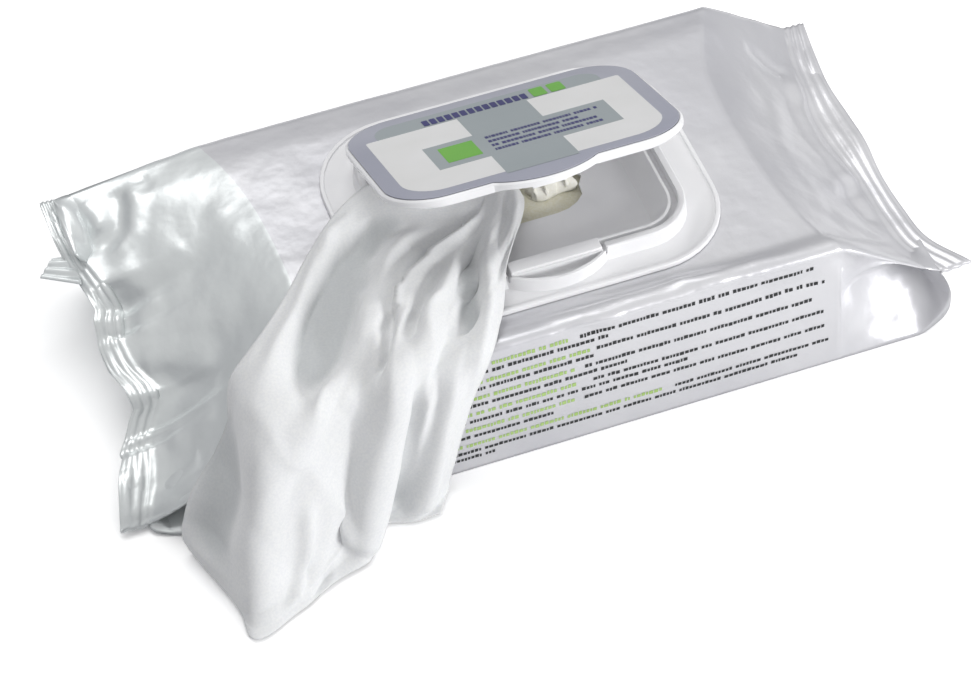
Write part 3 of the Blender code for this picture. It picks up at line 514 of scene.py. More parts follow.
def build_ear():
    """Corner of the left seal that is folded out, ribbed as the seal is."""
    root_back = np.array((-149.0, 47.0, 37.4)) * MM
    root_front = np.array((-149.0, 35.5, 33.4)) * MM
    tip_back = np.array((-156.5, 46.5, 39.0)) * MM
    tip_front = np.array((-162.5, 41.0, 36.6)) * MM
    rows = []
    for i in range(EAR_STEPS_ACROSS + 1):
        across = i / EAR_STEPS_ACROSS
        rib = EAR_RIB * sin(2 * pi * SEAL_RIB_COUNT * across)
        row = []
        for j in range(EAR_STEPS_OUT + 1):
            out = j / EAR_STEPS_OUT
            point = lerp(lerp(root_front, root_back, across), lerp(tip_front, tip_back, across), out)
            row.append(point + np.array((0.0, 0.0, rib)))
        rows.append(row)
    return grid_mesh("seal_ear", np.array(rows))


# Pulled wipe, with the same cage as its solid

def wipe_cage():
    """Rows of the wipe from its neck in the orifice to its hem, each from left to right."""
    tray, rim, film, front, floor = 57.0, 65.0, 60.2, -69.0, 0.8
    left = -50.6
    rows = [
        ((-17, 9, tray + 0.6), (-15, 7, tray + 0.6), (-12, 6, tray + 0.6), (-8, 5, tray + 0.6),
         (-5, 6, tray + 0.6), (-3, 7, tray + 0.6), (-1, 6, tray + 0.6), (1.5, 3, tray + 0.6),
         (2, -4, tray + 0.6)),
        ((-24, 10, tray + 4.4), (-25, 0, tray + 4.6), (-24, -9, tray + 5.0), (-20, -14, tray + 5.0),
         (-15, -15, tray + 6.0), (-11, -15, tray + 5.6), (-8, -15, tray + 5.0), (-5, -15, tray + 6.4),
         (-2, -14, tray + 4.4)),
        ((left + 2, 15, rim + 0.2), (left + 1, 0, rim + 0.6), (left + 3, -16, rim + 0.5),
         (left + 8, -30, rim + 0.8), (left + 15, -37, rim + 2.2), (left + 21, -39, rim + 1.0),
         (left + 27, -40, rim + 2.6), (left + 31, -40, rim + 1.2), (left + 34, -39, rim + 1.4)),
        ((-76, -4, film + 0.2), (-75, -18, film + 2.6), (-71, -32, film + 1.4), (-64, -43, film + 3.2),
         (-56, -50, film + 2.6), (-48, -54, film + 5.4), (-39, -55, film + 3.0), (-31, -55, film + 4.6),
         (-24, -54, film + 1.2)),
        ((-107, -42, film + 1.0), (-105, -56, film + 1.8), (-98, front - 1, film - 1.0),
         (-86, front, film + 0.4), (-75, front, film - 0.4), (-64, front - 2, film + 3.0),
         (-54, front, film + 0.4), (-44, front - 1, film + 1.8), (-33, front + 0.4, film)),
        ((-129, -55, 40), (-122, front - 6, 42), (-112, front - 9, 43), (-98, front - 4, 44),
         (-84, front - 3, 44), (-71, front - 8, 45), (-60, front - 2, 43), (-50, front - 4, 44),
         (-40, front - 1, 44)),
        ((-143, -63, 18), (-136, front - 12, 19), (-124, front - 22, 22), (-107, front - 17, 24),
         (-92, front - 8, 22), (-80, front - 15, 23), (-67, front - 4, 19), (-57, front - 7, 18),
         (-48, front - 2, 18)),
        ((-143, -66, floor + 2.4), (-137, front - 18, floor + 2.0), (-130, front - 33, floor + 4),
         (-112, front - 28, floor + 6), (-96, front - 16, floor + 5), (-86, front - 20, floor + 5),
         (-74, front - 7, floor + 2.5), (-63, front - 10, floor + 3), (-52, front - 4, floor + 2.5)),
        ((-138, -67, floor + 0.2), (-131, -80, floor + 0.2), (-134, -109, floor + 0.2),
         (-116, -104, floor + 0.4), (-101, -97, floor + 0.8), (-88, -92, floor + 0.4),
         (-79, -80, floor + 0.3), (-68, -82, floor + 0.3), (-58, -82, floor + 0.3)),
    ]
    return np.array(rows, float) * MM


# Folds of the wipe, in mm; each line runs in shares of its width and of its length from neck to hem.
# The two long ridges run into each other, so the higher one counts where they meet.
WIPE_RIDGES = (
    Crease(5.2, 16, 1, ((0.4, 0.24), (0.467, 0.338), (0.517, 0.394), (0.558, 0.444), (0.592, 0.506),
                        (0.6, 0.569), (0.6, 0.75), (0.62, 1), (0.63, 1.15))),
    Crease(6, 19, 1, ((-0.12, 0.5), (0.008, 0.531), (0.183, 0.544), (0.342, 0.637), (0.467, 0.762),
                      (0.558, 0.831), (0.62, 0.97))),
)
WIPE_CREASES = (
    Crease(-8, 20, 0, ((0.19, 0.3), (0.208, 0.369), (0.208, 0.406), (0.225, 0.431), (0.25, 0.49))),
    Crease(3.4, 9, 1.2, ((0.02, 0.33), (0.058, 0.338), (0.192, 0.338), (0.308, 0.362), (0.36, 0.42))),
    Crease(3.6, 10, 1.2, ((0.5, 0.46), (0.42, 0.415), (0.36, 0.41), (0.31, 0.431), (0.292, 0.475),
                          (0.29, 0.56))),
    Crease(-4.4, 9, 0, ((0.08, 0.36), (0.142, 0.33), (0.175, 0.296), (0.183, 0.2))),
    Crease(3.2, 9, 1.2, ((0.24, 0.2), (0.258, 0.269), (0.3, 0.312), (0.383, 0.375), (0.42, 0.4))),
    Crease(-3.2, 5, 1, ((0.4, 0.36), (0.45, 0.4), (0.5, 0.43), (0.54, 0.5))),
    Crease(-4.6, 9, 0, ((0.43, 0.14), (0.6, 0.25), (0.69, 0.29), (0.8, 0.369), (0.85, 0.42))),
    Crease(-3.4, 6, 0, ((0.4, 0.22), (0.47, 0.306), (0.54, 0.37), (0.6, 0.43))),
    Crease(3.6, 7, 1.2, ((0.44, 0.2), (0.6, 0.362), (0.675, 0.438), (0.758, 0.588), (0.78, 0.72))),
    Crease(2.8, 8, 1.2, ((0.55, 0.14), (0.75, 0.25), (0.88, 0.33), (0.935, 0.45), (0.95, 0.58))),
    Crease(-6, 15, 0, ((-0.04, 0.56), (0.03, 0.62), (0.08, 0.7), (0.09, 0.82))),
    Crease(3.6, 12, 0, ((0.12, 0.55), (0.208, 0.64), (0.25, 0.77), (0.27, 0.88))),
    Crease(2.4, 3.5, 1, ((0.352, 0.7), (0.375, 0.762), (0.378, 0.806), (0.36, 0.869), (0.345, 0.93))),
    Crease(-1.8, 4, 1, ((0.385, 0.72), (0.408, 0.8), (0.392, 0.88))),
    Crease(1.6, 9, 1, ((0.62, 0.84), (0.55, 0.865), (0.492, 0.9), (0.425, 0.915), (0.34, 0.9))),
    Crease(-1.8, 5, 1, ((0.43, 0.905), (0.45, 0.95), (0.44, 1))),
    Crease(-3.6, 10, 0, ((0.7, 0.48), (0.72, 0.7), (0.76, 0.92))),
    Crease(2.6, 9, 1, ((0.86, 0.5), (0.87, 0.72), (0.88, 0.94))),
    Crease(2, 6, 1, ((0.05, 0.36), (0.09, 0.42), (0.1, 0.5))),
)
WIPE_STEPS = (
    Crease(-3, 10, 1, ((0.38, 0.04), (0.333, 0.138), (0.342, 0.219), (0.35, 0.275), (0.375, 0.325),
                       (0.442, 0.369), (0.52, 0.43))),
)


def build_pulled_wipe(carriers):
    """Cloth through the cage, with its folds, no deeper than what carries it allows."""
    cage = wipe_cage()
    rows, columns = cage.shape[0] - 1, cage.shape[1] - 1
    along, across = rows * WIPE_CELLS_ALONG, columns * WIPE_CELLS_ACROSS
    surface = []
    for i in range(along + 1):
        line = [spline(list(cage[:, c]), i / along) for c in range(columns + 1)]
        surface.append([spline(line, j / across) for j in range(across + 1)])
    wipe = grid_mesh("wipe_cloth", np.array(surface))
    shares = np.stack(np.meshgrid(np.linspace(0, 1, across + 1), np.linspace(0, 1, along + 1)), -1)
    shares = shares.reshape(-1, 2)
    rise = wipe_folds(shares)
    # Painted shade: the deeper a fold sinks, the darker the cloth's colour there; kept as a point attribute
    painted_fold_shade = wipe.data.attributes.new("painted_fold_shade", "FLOAT", "POINT")
    painted_fold_shade.data.foreach_set("value", smooth(-rise / FOLD_SHADE_DEPTH).astype(np.float32))
    points = coordinates(wipe)
    facing = outward(wipe)
    deepest = np.maximum(room_below(points, facing, carriers) - WIPE_THICKNESS - WIPE_LIFT, 0.0)
    deepest = evened(deepest.reshape(along + 1, across + 1)).ravel()
    rise = np.maximum(rise * MM, -deepest)
    points += facing * rise[:, None]
    points[:, 2] = np.maximum(points[:, 2], WIPE_THICKNESS + FLOOR_LIFT)
    set_coordinates(wipe, points)
    return wipe


def spread(folds):
    """The folds with their lines in mm instead of shares."""
    span = np.array(WIPE_SPAN) / MM
    return [fold._replace(points=np.array(fold.points) * span) for fold in folds]


def wipe_folds(shares):
    """Rise of the folds, in mm, at shares of the wipe's width and length."""
    flat = shares * np.array(WIPE_SPAN) / MM
    hem = smooth((shares[:, 1] - HEM_START) / (1.0 - HEM_START))
    rise = np.maximum.reduce([crease_height(flat, ridge) for ridge in spread(WIPE_RIDGES)])
    rise *= 1.0 - HEM_FLAT * hem
    for crease in spread(WIPE_CREASES):
        rise += crease_height(flat, crease)
    for step in spread(WIPE_STEPS):
        rise += step_height(flat, step)
    for length, seed, depth in WIPE_WAVES:
        rise += wobble(flat, length, seed) * depth
    return rise * smooth(shares[:, 1] / NECK_EASE)


def evened(depths):
    """Least depth around each place, then softened, so that folds end without a notch."""
    for _ in range(EVEN_STEPS):
        padded = np.pad(depths, 1, mode="edge")
        depths = np.minimum.reduce([padded[1:-1, 1:-1], padded[:-2, 1:-1], padded[2:, 1:-1],
                                    padded[1:-1, :-2], padded[1:-1, 2:]])
    for _ in range(SOFTEN_STEPS):
        padded = np.pad(depths, 1, mode="edge")
        depths = (padded[:-2, 1:-1] + padded[2:, 1:-1] + padded[1:-1, :-2] + padded[1:-1, 2:]) / 4
    return depths


def room_below(points, facing, carriers):
    """Free distance below each point of the cloth, down to what carries it or to the floor."""
    body = bmesh.new()
    for item in carriers:
        body.from_mesh(item.data)
    tree = BVHTree.FromBMesh(body)
    body.free()
    room = np.full(len(points), ROOM_REACH)
    for index, (point, up) in enumerate(zip(points, facing)):
        down = Vector(-up)
        place, _, _, distance = tree.ray_cast(Vector(point) - down * ROOM_START, down, ROOM_REACH)
        if place is not None:
            room[index] = distance - ROOM_START
        if up[2] > UPWARD:
            room[index] = min(room[index], point[2] / up[2])
    return room


def outward(item):
    """Vertex normals turned so that most of them face up."""
    found = normals(item)
    return found if found[:, 2].mean() > 0 else -found


def build_next_wipe():
    """Crumpled top of the next wipe: a pleated loop that stands in the right half of the orifice."""
    low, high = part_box("next_wipe")
    middle = (low.y + high.y) / 2
    along = np.linspace(0.0, 1.0, TUFT_STEPS_ALONG + 1)
    ends = np.maximum(1.0 - (2 * along - 1) ** 4, 0.0) ** 0.5
    pleats = np.sin(2 * pi * TUFT_PLEATS * along + 0.5)
    waves = np.sin(2 * pi * TUFT_WAVES * along + 1.0)
    rows = []
    for step in range(TUFT_STEPS_OVER + 1):
        share = step / TUFT_STEPS_OVER
        turn = pi * share
        sway = TUFT_SWAY * np.sin(7 * along + 2 * share)
        depth = (TUFT_DEPTH + TUFT_PLEAT_DEPTH * pleats * sin(turn / 2) + sway) * MM
        height = TUFT_HEIGHT + TUFT_HEIGHT_WAVE * waves - TUFT_HEIGHT_PLEAT * pleats * share
        rise = (high.z - low.z) * height
        x = lerp(low.x, high.x + TUFT_RIGHT_PLAY * MM, along)
        x = x + TUFT_PLEAT_SHIFT * MM * np.sin(2 * turn) * pleats
        y = middle - depth * cos(turn) * lerp(TUFT_END_WIDTH, 1.0, ends)
        z = low.z + rise * ends * sin(turn) ** TUFT_ROUNDNESS
        rows.append(np.stack((x, y, z), axis=1))
    return grid_mesh("next_wipe_cloth", np.array(rows))


# Moulded parts, from their solids with rounded edges

def dress(name, new_name, body, bevel):
    """Copy of a rigid solid with its edges rounded and shaded smooth."""
    source = frame["nodes"][name]
    shape = bmesh.new()
    shape.from_mesh(source.data)
    bmesh.ops.remove_doubles(shape, verts=shape.verts, dist=MERGE_DISTANCE)
    bmesh.ops.dissolve_limit(shape, angle_limit=FLAT_ANGLE, verts=shape.verts, edges=shape.edges)
    mesh = bpy.data.meshes.new(new_name)
    shape.to_mesh(mesh)
    shape.free()
    item = bpy.data.objects.new(new_name, mesh)
    bpy.context.scene.collection.objects.link(item)
    round_edges = item.modifiers.new("round_edges", "BEVEL")
    round_edges.width = bevel
    round_edges.segments = 2
    round_edges.limit_method = "ANGLE"
    round_edges.angle_limit = BEVEL_ANGLE
    round_edges.use_clamp_overlap = True
    apply_modifiers(item)
    item.data.shade_smooth()
    item.data.set_sharp_from_angle(angle=SHARP_ANGLE)
    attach(item, body)
    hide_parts(name)
    return item


# Print of the label: plain fields and rows of small plain blocks, in the shut lid's own plane

INK = 0.05 * MM
LAYER = 0.06 * MM
CORNER_STEPS = 8

# Fields in mm: left, right, near and far as seen from the hinge, corner radius, radius of the far corners
LABEL_PANEL = (-46.5, 47, 17.3, 74, 1, 13)
LABEL_HEAD = (-42, 41, 7, 17.28, 7, 0.6)
LABEL_BANDS = ((-31.3, 35, 36, 57.8, 0.01), (-13, 12.8, 16, 35.98, 0.01),
               (-13, 12.8, 57.82, 76, 0.01))
LABEL_SQUARE = (-27, -14.6, 39.8, 54, 0.3)
LABEL_ACCENTS = ((16, 21.2, 8.6, 16.8, 0.8), (22.6, 28, 8.6, 16.8, 0.8))

# Rows of blocks in mm: the rows' left end, block height, and each row's right end and place
ROWS_LEFT = -10.0
ROW_HEIGHT = 2.0
LABEL_ROWS = ((31, 40), (23.5, 44.1), (30, 48.2), (29, 52.3))
ROW_BLOCK = 1.25
ROW_GAP = 0.28
ROW_CORNER = 0.15
ROW_SEED = 40
HEADING_LEFT = -24.5
HEADING_PITCH = 2.8
HEADING_BLOCK = 2.2
HEADING_COUNT = 14
HEADING_NEAR = 11.0
HEADING_FAR = 16.2
HEADING_CORNER = 0.4

# Groups of 2 to 11 blocks: widths and spaces in shares of the block size, rises and drops in shares of
# half the row's height
GROUP_BLOCKS = (2, 12)
BLOCK_WIDTHS = (0.45, 1.15)
TALL_CHANCE = 0.25
TALL_RISE = 0.35
DEEP_CHANCE = 0.1
DEEP_DROP = 0.3
GROUP_SPACE = 0.8


def on_lid(x, y, lift):
    """Point of the open lid at x from the hinge's middle and y in front of the hinge."""
    return HINGE + Matrix.Rotation(-LID_OPEN, 3, "X") @ Vector((x, -y, lift))


def rounded_field(left, right, near, far, near_radius, far_radius=None):
    """Outline of a field with round corners; near and far are distances from the hinge."""
    far_radius = near_radius if far_radius is None else far_radius
    corners = ((right - near_radius, near + near_radius, 0, near_radius),
               (left + near_radius, near + near_radius, 1, near_radius),
               (left + far_radius, far - far_radius, 2, far_radius),
               (right - far_radius, far - far_radius, 3, far_radius))
    points = []
    for cx, cy, turn, radius in corners:
        for step in range(CORNER_STEPS + 1):
            angle = (turn + step / CORNER_STEPS) * pi / 2
            points.append((cx + radius * cos(angle), cy - radius * sin(angle)))
    return points


def print_fields(name, outlines, level, material):
    """Thin printed fields on the lid, in one piece."""
    points, faces = [], []
    for outline in outlines:
        first, count = len(points), len(outline)
        points += [on_lid(x * MM, y * MM, level) for x, y in outline]
        points += [on_lid(x * MM, y * MM, level - INK) for x, y in outline]
        faces.append(tuple(first + i for i in range(count)))
        faces.append(tuple(first + i for i in range(2 * count - 1, count - 1, -1)))
        faces += [(first + i, first + i + count, first + (i + 1) % count + count, first + (i + 1) % count)
                  for i in range(count)]
    item = new_object(name, points, faces)
    item.data.shade_flat()
    face_outwards(item)
    item.data.materials.append(material)
    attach(item, "lid")


def face_outwards(item):
    shape = bmesh.new()
    shape.from_mesh(item.data)
    bmesh.ops.recalc_face_normals(shape, faces=shape.faces)
    shape.to_mesh(item.data)
    shape.free()


def block_row(left, right, size, gap, seed):
    """Small blocks in groups along a row of print, each as (start, stop, rise, drop)."""
    chance = np.random.default_rng(seed)
    blocks = []
    place = left
    while place < right - size:
        for _ in range(int(chance.integers(*GROUP_BLOCKS))):
            width = size * chance.uniform(*BLOCK_WIDTHS)
            if place + width > right:
                break
            kind = chance.random()
            rise = TALL_RISE if kind < TALL_CHANCE else 0.0
            drop = DEEP_DROP if kind > 1.0 - DEEP_CHANCE else 0.0
            blocks.append((place, place + width, rise, drop))
            place += width + gap
        place += size * GROUP_SPACE
    return blocks


def build_label_print():
    unturn = Matrix.Rotation(LID_OPEN, 3, "X")
    top = max((unturn @ (v.co - HINGE)).z for v in frame["nodes"]["lid_label"].data.vertices)
    white = ink_material("ink_white", (0.80, 0.80, 0.80), (0.74, 0.74, 0.73))
    green_grey = ink_material("ink_green_grey", (0.35, 0.39, 0.405), (0.33, 0.37, 0.385))
    green = ink_material("ink_green", (0.17, 0.47, 0.06), (0.13, 0.41, 0.05))
    navy = ink_material("ink_navy", (0.035, 0.035, 0.17), (0.03, 0.03, 0.14))
    panel_level, band_level, block_level = (top + LAYER * layer for layer in (1, 2, 3))
    print_fields("label_panel", [rounded_field(*LABEL_PANEL)], panel_level, white)
    print_fields("label_bands", [rounded_field(*band) for band in LABEL_BANDS], band_level, green_grey)
    print_fields("label_head", [rounded_field(*LABEL_HEAD)], panel_level, green_grey)
    print_fields("label_square", [rounded_field(*LABEL_SQUARE)], block_level, green)
    rows = []
    for index, (right, near) in enumerate(LABEL_ROWS):
        for start, stop, _, _ in block_row(ROWS_LEFT, right, ROW_BLOCK, ROW_GAP, ROW_SEED + index):
            rows.append(rounded_field(start, stop, near, near + ROW_HEIGHT, ROW_CORNER))
    print_fields("label_rows", rows, block_level, navy)
    heading = []
    for index in range(HEADING_COUNT):
        left = HEADING_LEFT + HEADING_PITCH * index
        heading.append(rounded_field(left, left + HEADING_BLOCK, HEADING_NEAR, HEADING_FAR, HEADING_CORNER))
    print_fields("label_heading", heading, block_level, navy)
    print_fields("label_accent", [rounded_field(*accent) for accent in LABEL_ACCENTS], block_level, green)


# Print of the front panel: rows of small plain blocks that follow the film

PRINT_BLOCK = 1.35
PRINT_GAP = 0.38
PRINT_LIFT = 0.12 * MM
RAY_FRONT = -200.0 * MM
DARK_HALF_HEIGHT = 0.68
GREEN_HALF_HEIGHT = 0.75
PRINT_SEED = 100

# Height of each row in mm, and its stretches: left, right, and 1 for green or 0 for dark
PRINT_ROWS = (
    (53, ((-41, -4.4, 1), (-1, 84.6, 0))), (49.8, ((-42, 11, 0),)),
    (45.4, ((-42, 3.4, 1), (4.8, 89.7, 0))), (42.3, ((-43, 5.4, 0),)),
    (38, ((-44, -2.9, 1), (0.4, 85.3, 0))), (34.5, ((-45, 18.5, 0),)),
    (30.3, ((-46, -0.2, 1), (3.4, 89.3, 0))), (26.6, ((-47, 38.3, 0),)),
    (22.3, ((-48, -3.4, 1), (0.1, 92, 0))), (18.6, ((-49, -9.6, 0),)),
    (14, ((-50, 30.4, 1), (33.8, 92.3, 0))), (10.2, ((-51, 82.6, 0),)), (6.9, ((-52, -32, 0),)),
)


def build_front_print(skin):
    """Blocks of print just in front of the film, as one piece for each colour."""
    body = bmesh.new()
    body.from_mesh(skin.data)
    tree = BVHTree.FromBMesh(body)
    dark = ink_material("print_dark", (0.012, 0.013, 0.014), (0.02, 0.022, 0.024))
    green = ink_material("print_green", (0.33, 0.50, 0.13), (0.38, 0.55, 0.18))
    inks = (("print_rows", dark, DARK_HALF_HEIGHT), ("print_starts", green, GREEN_HALF_HEIGHT))
    for kind, (name, material, half) in enumerate(inks):
        points, faces = [], []
        for row, (level, parts) in enumerate(PRINT_ROWS):
            for left, right, colour in parts:
                if colour != kind:
                    continue
                seed = PRINT_SEED + row * 2 + kind
                for start, stop, rise, drop in block_row(left, right, PRINT_BLOCK, PRINT_GAP, seed):
                    low, high = level - half * (1 + drop), level + half * (1 + rise)
                    corners = [film_point(tree, x, z) for x, z in
                               ((start, low), (stop, low), (stop, high), (start, high))]
                    faces.append(tuple(range(len(points), len(points) + 4)))
                    points += corners
        item = new_object(name, points, faces)
        item.data.shade_flat()
        item.data.materials.append(material)
        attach(item, "pack")
    body.free()


def film_point(tree, x, z):
    """Point just in front of the front panel's film, in metres, at x and z in mm."""
    place, facing, _, _ = tree.ray_cast(Vector((x * MM, RAY_FRONT, z * MM)), Vector((0.0, 1.0, 0.0)))
    outwards = facing if facing.y < 0 else -facing
    return place + outwards * PRINT_LIFT


# Materials

def new_material(name):
    material = bpy.data.materials.new(name)
    material.use_nodes = True
    return material, material.node_tree, material.node_tree.nodes["Principled BSDF"]


def node(tree, kind, **settings):
    made = tree.nodes.new(kind)
    for key, value in settings.items():
        if key in made.inputs:
            made.inputs[key].default_value = value
        else:
            setattr(made, key, value)
    return made


def noise_bump(tree, shader, layers):
    """Chain of noise bumps; each layer is a scale in 1/m, a detail, and a depth in metres."""
    place = node(tree, "ShaderNodeTexCoord")
    last = None
    for scale, detail, depth in layers:
        pattern = node(tree, "ShaderNodeTexNoise", Scale=scale, Detail=detail)
        tree.links.new(place.outputs["Object"], pattern.inputs["Vector"])
        bump = node(tree, "ShaderNodeBump", Strength=1.0, Distance=depth)
        tree.links.new(pattern.outputs["Fac"], bump.inputs["Height"])
        if last:
            tree.links.new(last.outputs["Normal"], bump.inputs["Normal"])
        last = bump
    tree.links.new(last.outputs["Normal"], shader.inputs["Normal"])


def colour_by_noise(tree, shader, scale, low, high):
    """Soft clouds between two colours; gives back the ramp that holds them."""
    place = node(tree, "ShaderNodeTexCoord")
    pattern = node(tree, "ShaderNodeTexNoise", Scale=scale, Detail=3.0)
    ramp = node(tree, "ShaderNodeValToRGB")
    ramp.color_ramp.elements[0].position = 0.35
    ramp.color_ramp.elements[1].position = 0.65
    ramp.color_ramp.elements[0].color = (*low, 1.0)
    ramp.color_ramp.elements[1].color = (*high, 1.0)
    tree.links.new(place.outputs["Object"], pattern.inputs["Vector"])
    tree.links.new(pattern.outputs["Fac"], ramp.inputs["Fac"])
    tree.links.new(ramp.outputs["Color"], shader.inputs["Base Color"])
    return ramp


def film_material(name, low, high, metal):
    """Glossy laminated film: soft clouds of colour, and fine crinkles in its bump."""
    material, tree, shader = new_material(name)
    colour_by_noise(tree, shader, 16.0, low, high)
    shader.inputs["Metallic"].default_value = metal
    shader.inputs["Roughness"].default_value = 0.3
    shader.inputs["Specular IOR Level"].default_value = 0.7
    shader.inputs["Coat Weight"].default_value = 0.3
    shader.inputs["Coat Roughness"].default_value = 0.1
    noise_bump(tree, shader, ((45.0, 3.0, 0.9 * MM), (260.0, 2.0, 0.08 * MM)))
    return material


def moulding_material():
    material, tree, shader = new_material("white_moulding_surface")
    colour_by_noise(tree, shader, 60.0, (0.83, 0.83, 0.845), (0.86, 0.86, 0.87))
    shader.inputs["Roughness"].default_value = 0.3
    shader.inputs["Subsurface Weight"].default_value = 0.08
    shader.inputs["Subsurface Radius"].default_value = (2.0 * MM, 2.0 * MM, 2.0 * MM)
    noise_bump(tree, shader, ((1400.0, 2.0, 0.015 * MM),))
    return material


# Place of the colour among a Mix node's results
MIXED_COLOUR = 2


def mix_socket(mixer, letter):
    """Colour input A or B of a Mix node."""
    return next(socket for socket in mixer.inputs if socket.name == letter and socket.type == "RGBA")


def nonwoven_material(name, low, high):
    """Soft nonwoven fabric, with painted shade that makes it a little darker in the valleys of the wipe's
    folds.
    """
    material, tree, shader = new_material(name)
    ramp = colour_by_noise(tree, shader, 1200.0, low, high)
    # Painted shade: the colour is multiplied towards a darker shade where the wipe's folds sink deepest
    darker = node(tree, "ShaderNodeMix", data_type="RGBA", blend_type="MULTIPLY")
    depth = node(tree, "ShaderNodeAttribute", attribute_name="painted_fold_shade")
    mix_socket(darker, "B").default_value = PAINTED_FOLD_SHADE
    tree.links.new(depth.outputs["Fac"], darker.inputs[0])
    tree.links.new(ramp.outputs["Color"], mix_socket(darker, "A"))
    tree.links.new(darker.outputs[MIXED_COLOUR], shader.inputs["Base Color"])
    shader.inputs["Roughness"].default_value = 0.85
    shader.inputs["Sheen Weight"].default_value = 0.15
    shader.inputs["Subsurface Weight"].default_value = 0.15
    shader.inputs["Subsurface Radius"].default_value = (3.0 * MM, 3.0 * MM, 2.5 * MM)
    noise_bump(tree, shader, ((110.0, 3.0, 0.2 * MM), (900.0, 4.0, 0.012 * MM), (2600.0, 2.0, 0.006 * MM)))
    return material


def label_material():
    material, tree, shader = new_material("label_surface")
    colour_by_noise(tree, shader, 40.0, (0.36, 0.37, 0.44), (0.38, 0.39, 0.46))
    shader.inputs["Roughness"].default_value = 0.35
    noise_bump(tree, shader, ((900.0, 2.0, 0.01 * MM),))
    return material


def ink_material(name, high, low):
    material, tree, shader = new_material(name)
    colour_by_noise(tree, shader, 25.0, low, high)
    shader.inputs["Roughness"].default_value = 0.4
    return material


# Stage

def build_floor():
    """Pale floor, white for the camera but for the shadow, and no brighter for the object."""
    bpy.ops.mesh.primitive_plane_add(size=12.0, location=(0.0, 0.0, 0.0))
    floor = bpy.context.active_object
    floor.name = "floor"
    material, tree, shader = new_material("floor_white")
    shader.inputs["Base Color"].default_value = (0.80, 0.80, 0.81, 1.0)
    shader.inputs["Roughness"].default_value = 0.95
    shader.inputs["Specular IOR Level"].default_value = 0.0
    seen = node(tree, "ShaderNodeBsdfDiffuse")
    seen.inputs["Color"].default_value = (FLOOR_SEEN, FLOOR_SEEN, FLOOR_SEEN, 1.0)
    path = node(tree, "ShaderNodeLightPath")
    mix = node(tree, "ShaderNodeMixShader")
    tree.links.new(path.outputs["Is Camera Ray"], mix.inputs[0])
    tree.links.new(shader.outputs[0], mix.inputs[1])
    tree.links.new(seen.outputs[0], mix.inputs[2])
    tree.links.new(mix.outputs[0], tree.nodes["Material Output"].inputs["Surface"])
    floor.data.materials.append(material)


def build_world():
    """White for the camera; for the object a soft studio, bright above and darker near the horizon."""
    world = bpy.data.worlds.new("studio")
    bpy.context.scene.world = world
    world.use_nodes = True
    tree = world.node_tree
    background = tree.nodes["Background"]
    place = node(tree, "ShaderNodeTexCoord")
    axes = node(tree, "ShaderNodeSeparateXYZ")
    ramp = node(tree, "ShaderNodeValToRGB")
    ramp.color_ramp.elements[0].position = 0.0
    ramp.color_ramp.elements[0].color = (0.24, 0.245, 0.27, 1.0)
    ramp.color_ramp.elements[1].position = 0.62
    ramp.color_ramp.elements[1].color = (1.0, 1.0, 1.0, 1.0)
    middle = ramp.color_ramp.elements.new(0.28)
    middle.color = (0.40, 0.405, 0.44, 1.0)
    tree.links.new(place.outputs["Generated"], axes.inputs["Vector"])
    tree.links.new(axes.outputs["Z"], ramp.inputs["Fac"])
    tree.links.new(ramp.outputs["Color"], background.inputs["Color"])
    background.inputs["Strength"].default_value = 0.62
    white = node(tree, "ShaderNodeBackground", Strength=1.0)
    white.inputs["Color"].default_value = (1.0, 1.0, 1.0, 1.0)
    path = node(tree, "ShaderNodeLightPath")
    mix = node(tree, "ShaderNodeMixShader")
    output = tree.nodes["World Output"]
    tree.links.new(path.outputs["Is Camera Ray"], mix.inputs[0])
    tree.links.new(background.outputs[0], mix.inputs[1])
    tree.links.new(white.outputs[0], mix.inputs[2])
    tree.links.new(mix.outputs[0], output.inputs["Surface"])


def add_area(name, place, size, power):
    """Rectangular lamp that shines on the middle of the pack."""
    lamp = bpy.data.lights.new(name, "AREA")
    lamp.shape = "RECTANGLE"
    lamp.size, lamp.size_y = size
    lamp.energy = power
    item = bpy.data.objects.new(name, lamp)
    item.location = place
    item.rotation_euler = (LAMP_AIM - Vector(place)).to_track_quat("-Z", "Y").to_euler()
    bpy.context.scene.collection.objects.link(item)


def build_lights():
    build_world()
    add_area("key", (-0.1, 0.35, 1.0), (0.75, 0.75), 4.0)
    add_area("front_fill", (0.8, -1.0, 0.4), (0.5, 0.4), 12.5)


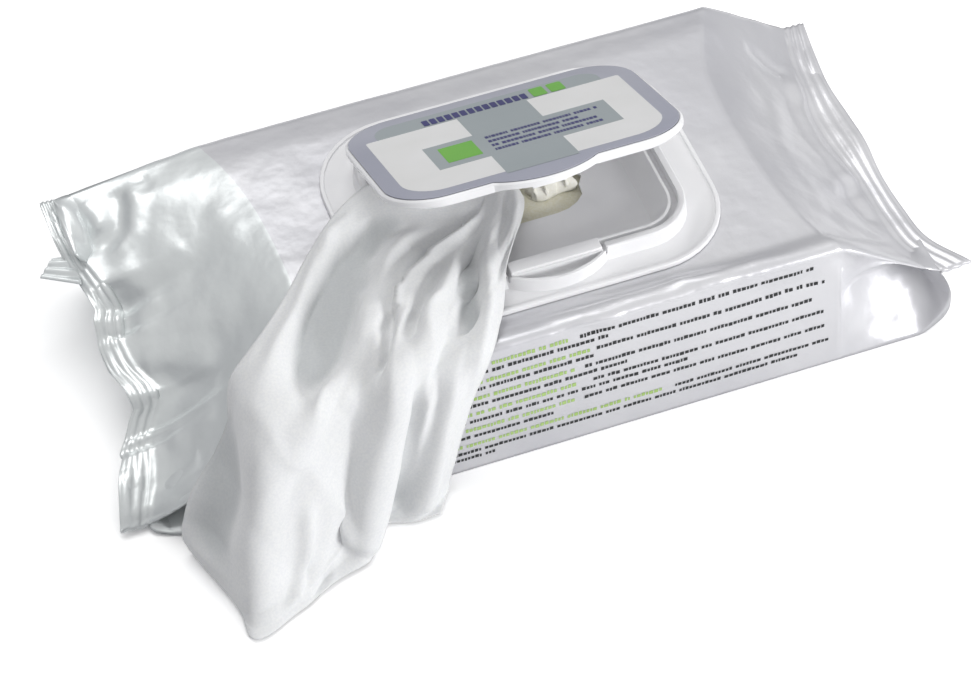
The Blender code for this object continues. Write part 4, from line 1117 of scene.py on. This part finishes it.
def build_camera():
    back = Vector((sin(CAMERA_AZIMUTH) * cos(CAMERA_ELEVATION),
                   -cos(CAMERA_AZIMUTH) * cos(CAMERA_ELEVATION), sin(CAMERA_ELEVATION)))
    level = Vector((cos(CAMERA_AZIMUTH), sin(CAMERA_AZIMUTH), 0.0))
    up = back.cross(level)
    right = cos(CAMERA_ROLL) * level + sin(CAMERA_ROLL) * up
    up = back.cross(right)
    pose = Matrix((right, up, back)).transposed().to_4x4()
    pose.translation = CAMERA_TARGET + back * CAMERA_DISTANCE
    data = bpy.data.cameras.new("camera")
    data.lens = CAMERA_LENS
    data.sensor_width = 36.0
    item = bpy.data.objects.new("camera", data)
    item.matrix_world = pose
    bpy.context.scene.collection.objects.link(item)
    bpy.context.scene.camera = item


def finish_with(item, material):
    item.data.materials.clear()
    item.data.materials.append(material)


def build():
    bpy.context.scene.view_settings.view_transform = "Standard"
    build_camera()
    build_lights()
    build_floor()

    white_film = film_material("film_white", (0.62, 0.62, 0.65), (0.70, 0.70, 0.72), 0.35)
    silver_film = film_material("film_silver", (0.70, 0.73, 0.735), (0.79, 0.82, 0.82), 0.4)
    skin = build_skin()
    skin.data.materials.append(white_film)
    skin.data.materials.append(silver_film)
    build_front_print(skin)
    thicken(skin, SKIN)
    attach(skin, "pack")
    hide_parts("film_pouch")
    ear = build_ear()
    thicken(ear, SKIN)
    finish_with(ear, silver_film)
    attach(ear, "pack")

    nonwoven = nonwoven_material("nonwoven_surface", (0.70, 0.71, 0.72), (0.75, 0.755, 0.755))
    wipe = build_pulled_wipe([skin, frame["nodes"]["lid_frame"]])
    thicken(wipe, WIPE_THICKNESS)
    finish_with(wipe, nonwoven)
    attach(wipe, "pack")
    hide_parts("pulled_wipe")

    tuft = build_next_wipe()
    thicken(tuft, WIPE_THICKNESS)
    finish_with(tuft, nonwoven_material("moist_nonwoven_surface", (0.84, 0.82, 0.74), (0.88, 0.87, 0.81)))
    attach(tuft, "pack")
    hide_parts("next_wipe")

    moulding = moulding_material()
    for name, new_name, body in (("lid_frame", "frame_moulding", "pack"), ("lid", "lid_moulding", "lid")):
        item = dress(name, new_name, body, MOULDING_BEVEL)
        finish_with(item, moulding)
    label = dress("lid_label", "label_film", "lid", LABEL_BEVEL)
    finish_with(label, label_material())
    build_label_print()
    stack = nonwoven_material("stack_surface", (0.80, 0.77, 0.60), (0.86, 0.84, 0.71))
    finish_with(frame["nodes"]["wipe_stack"], stack)


build()
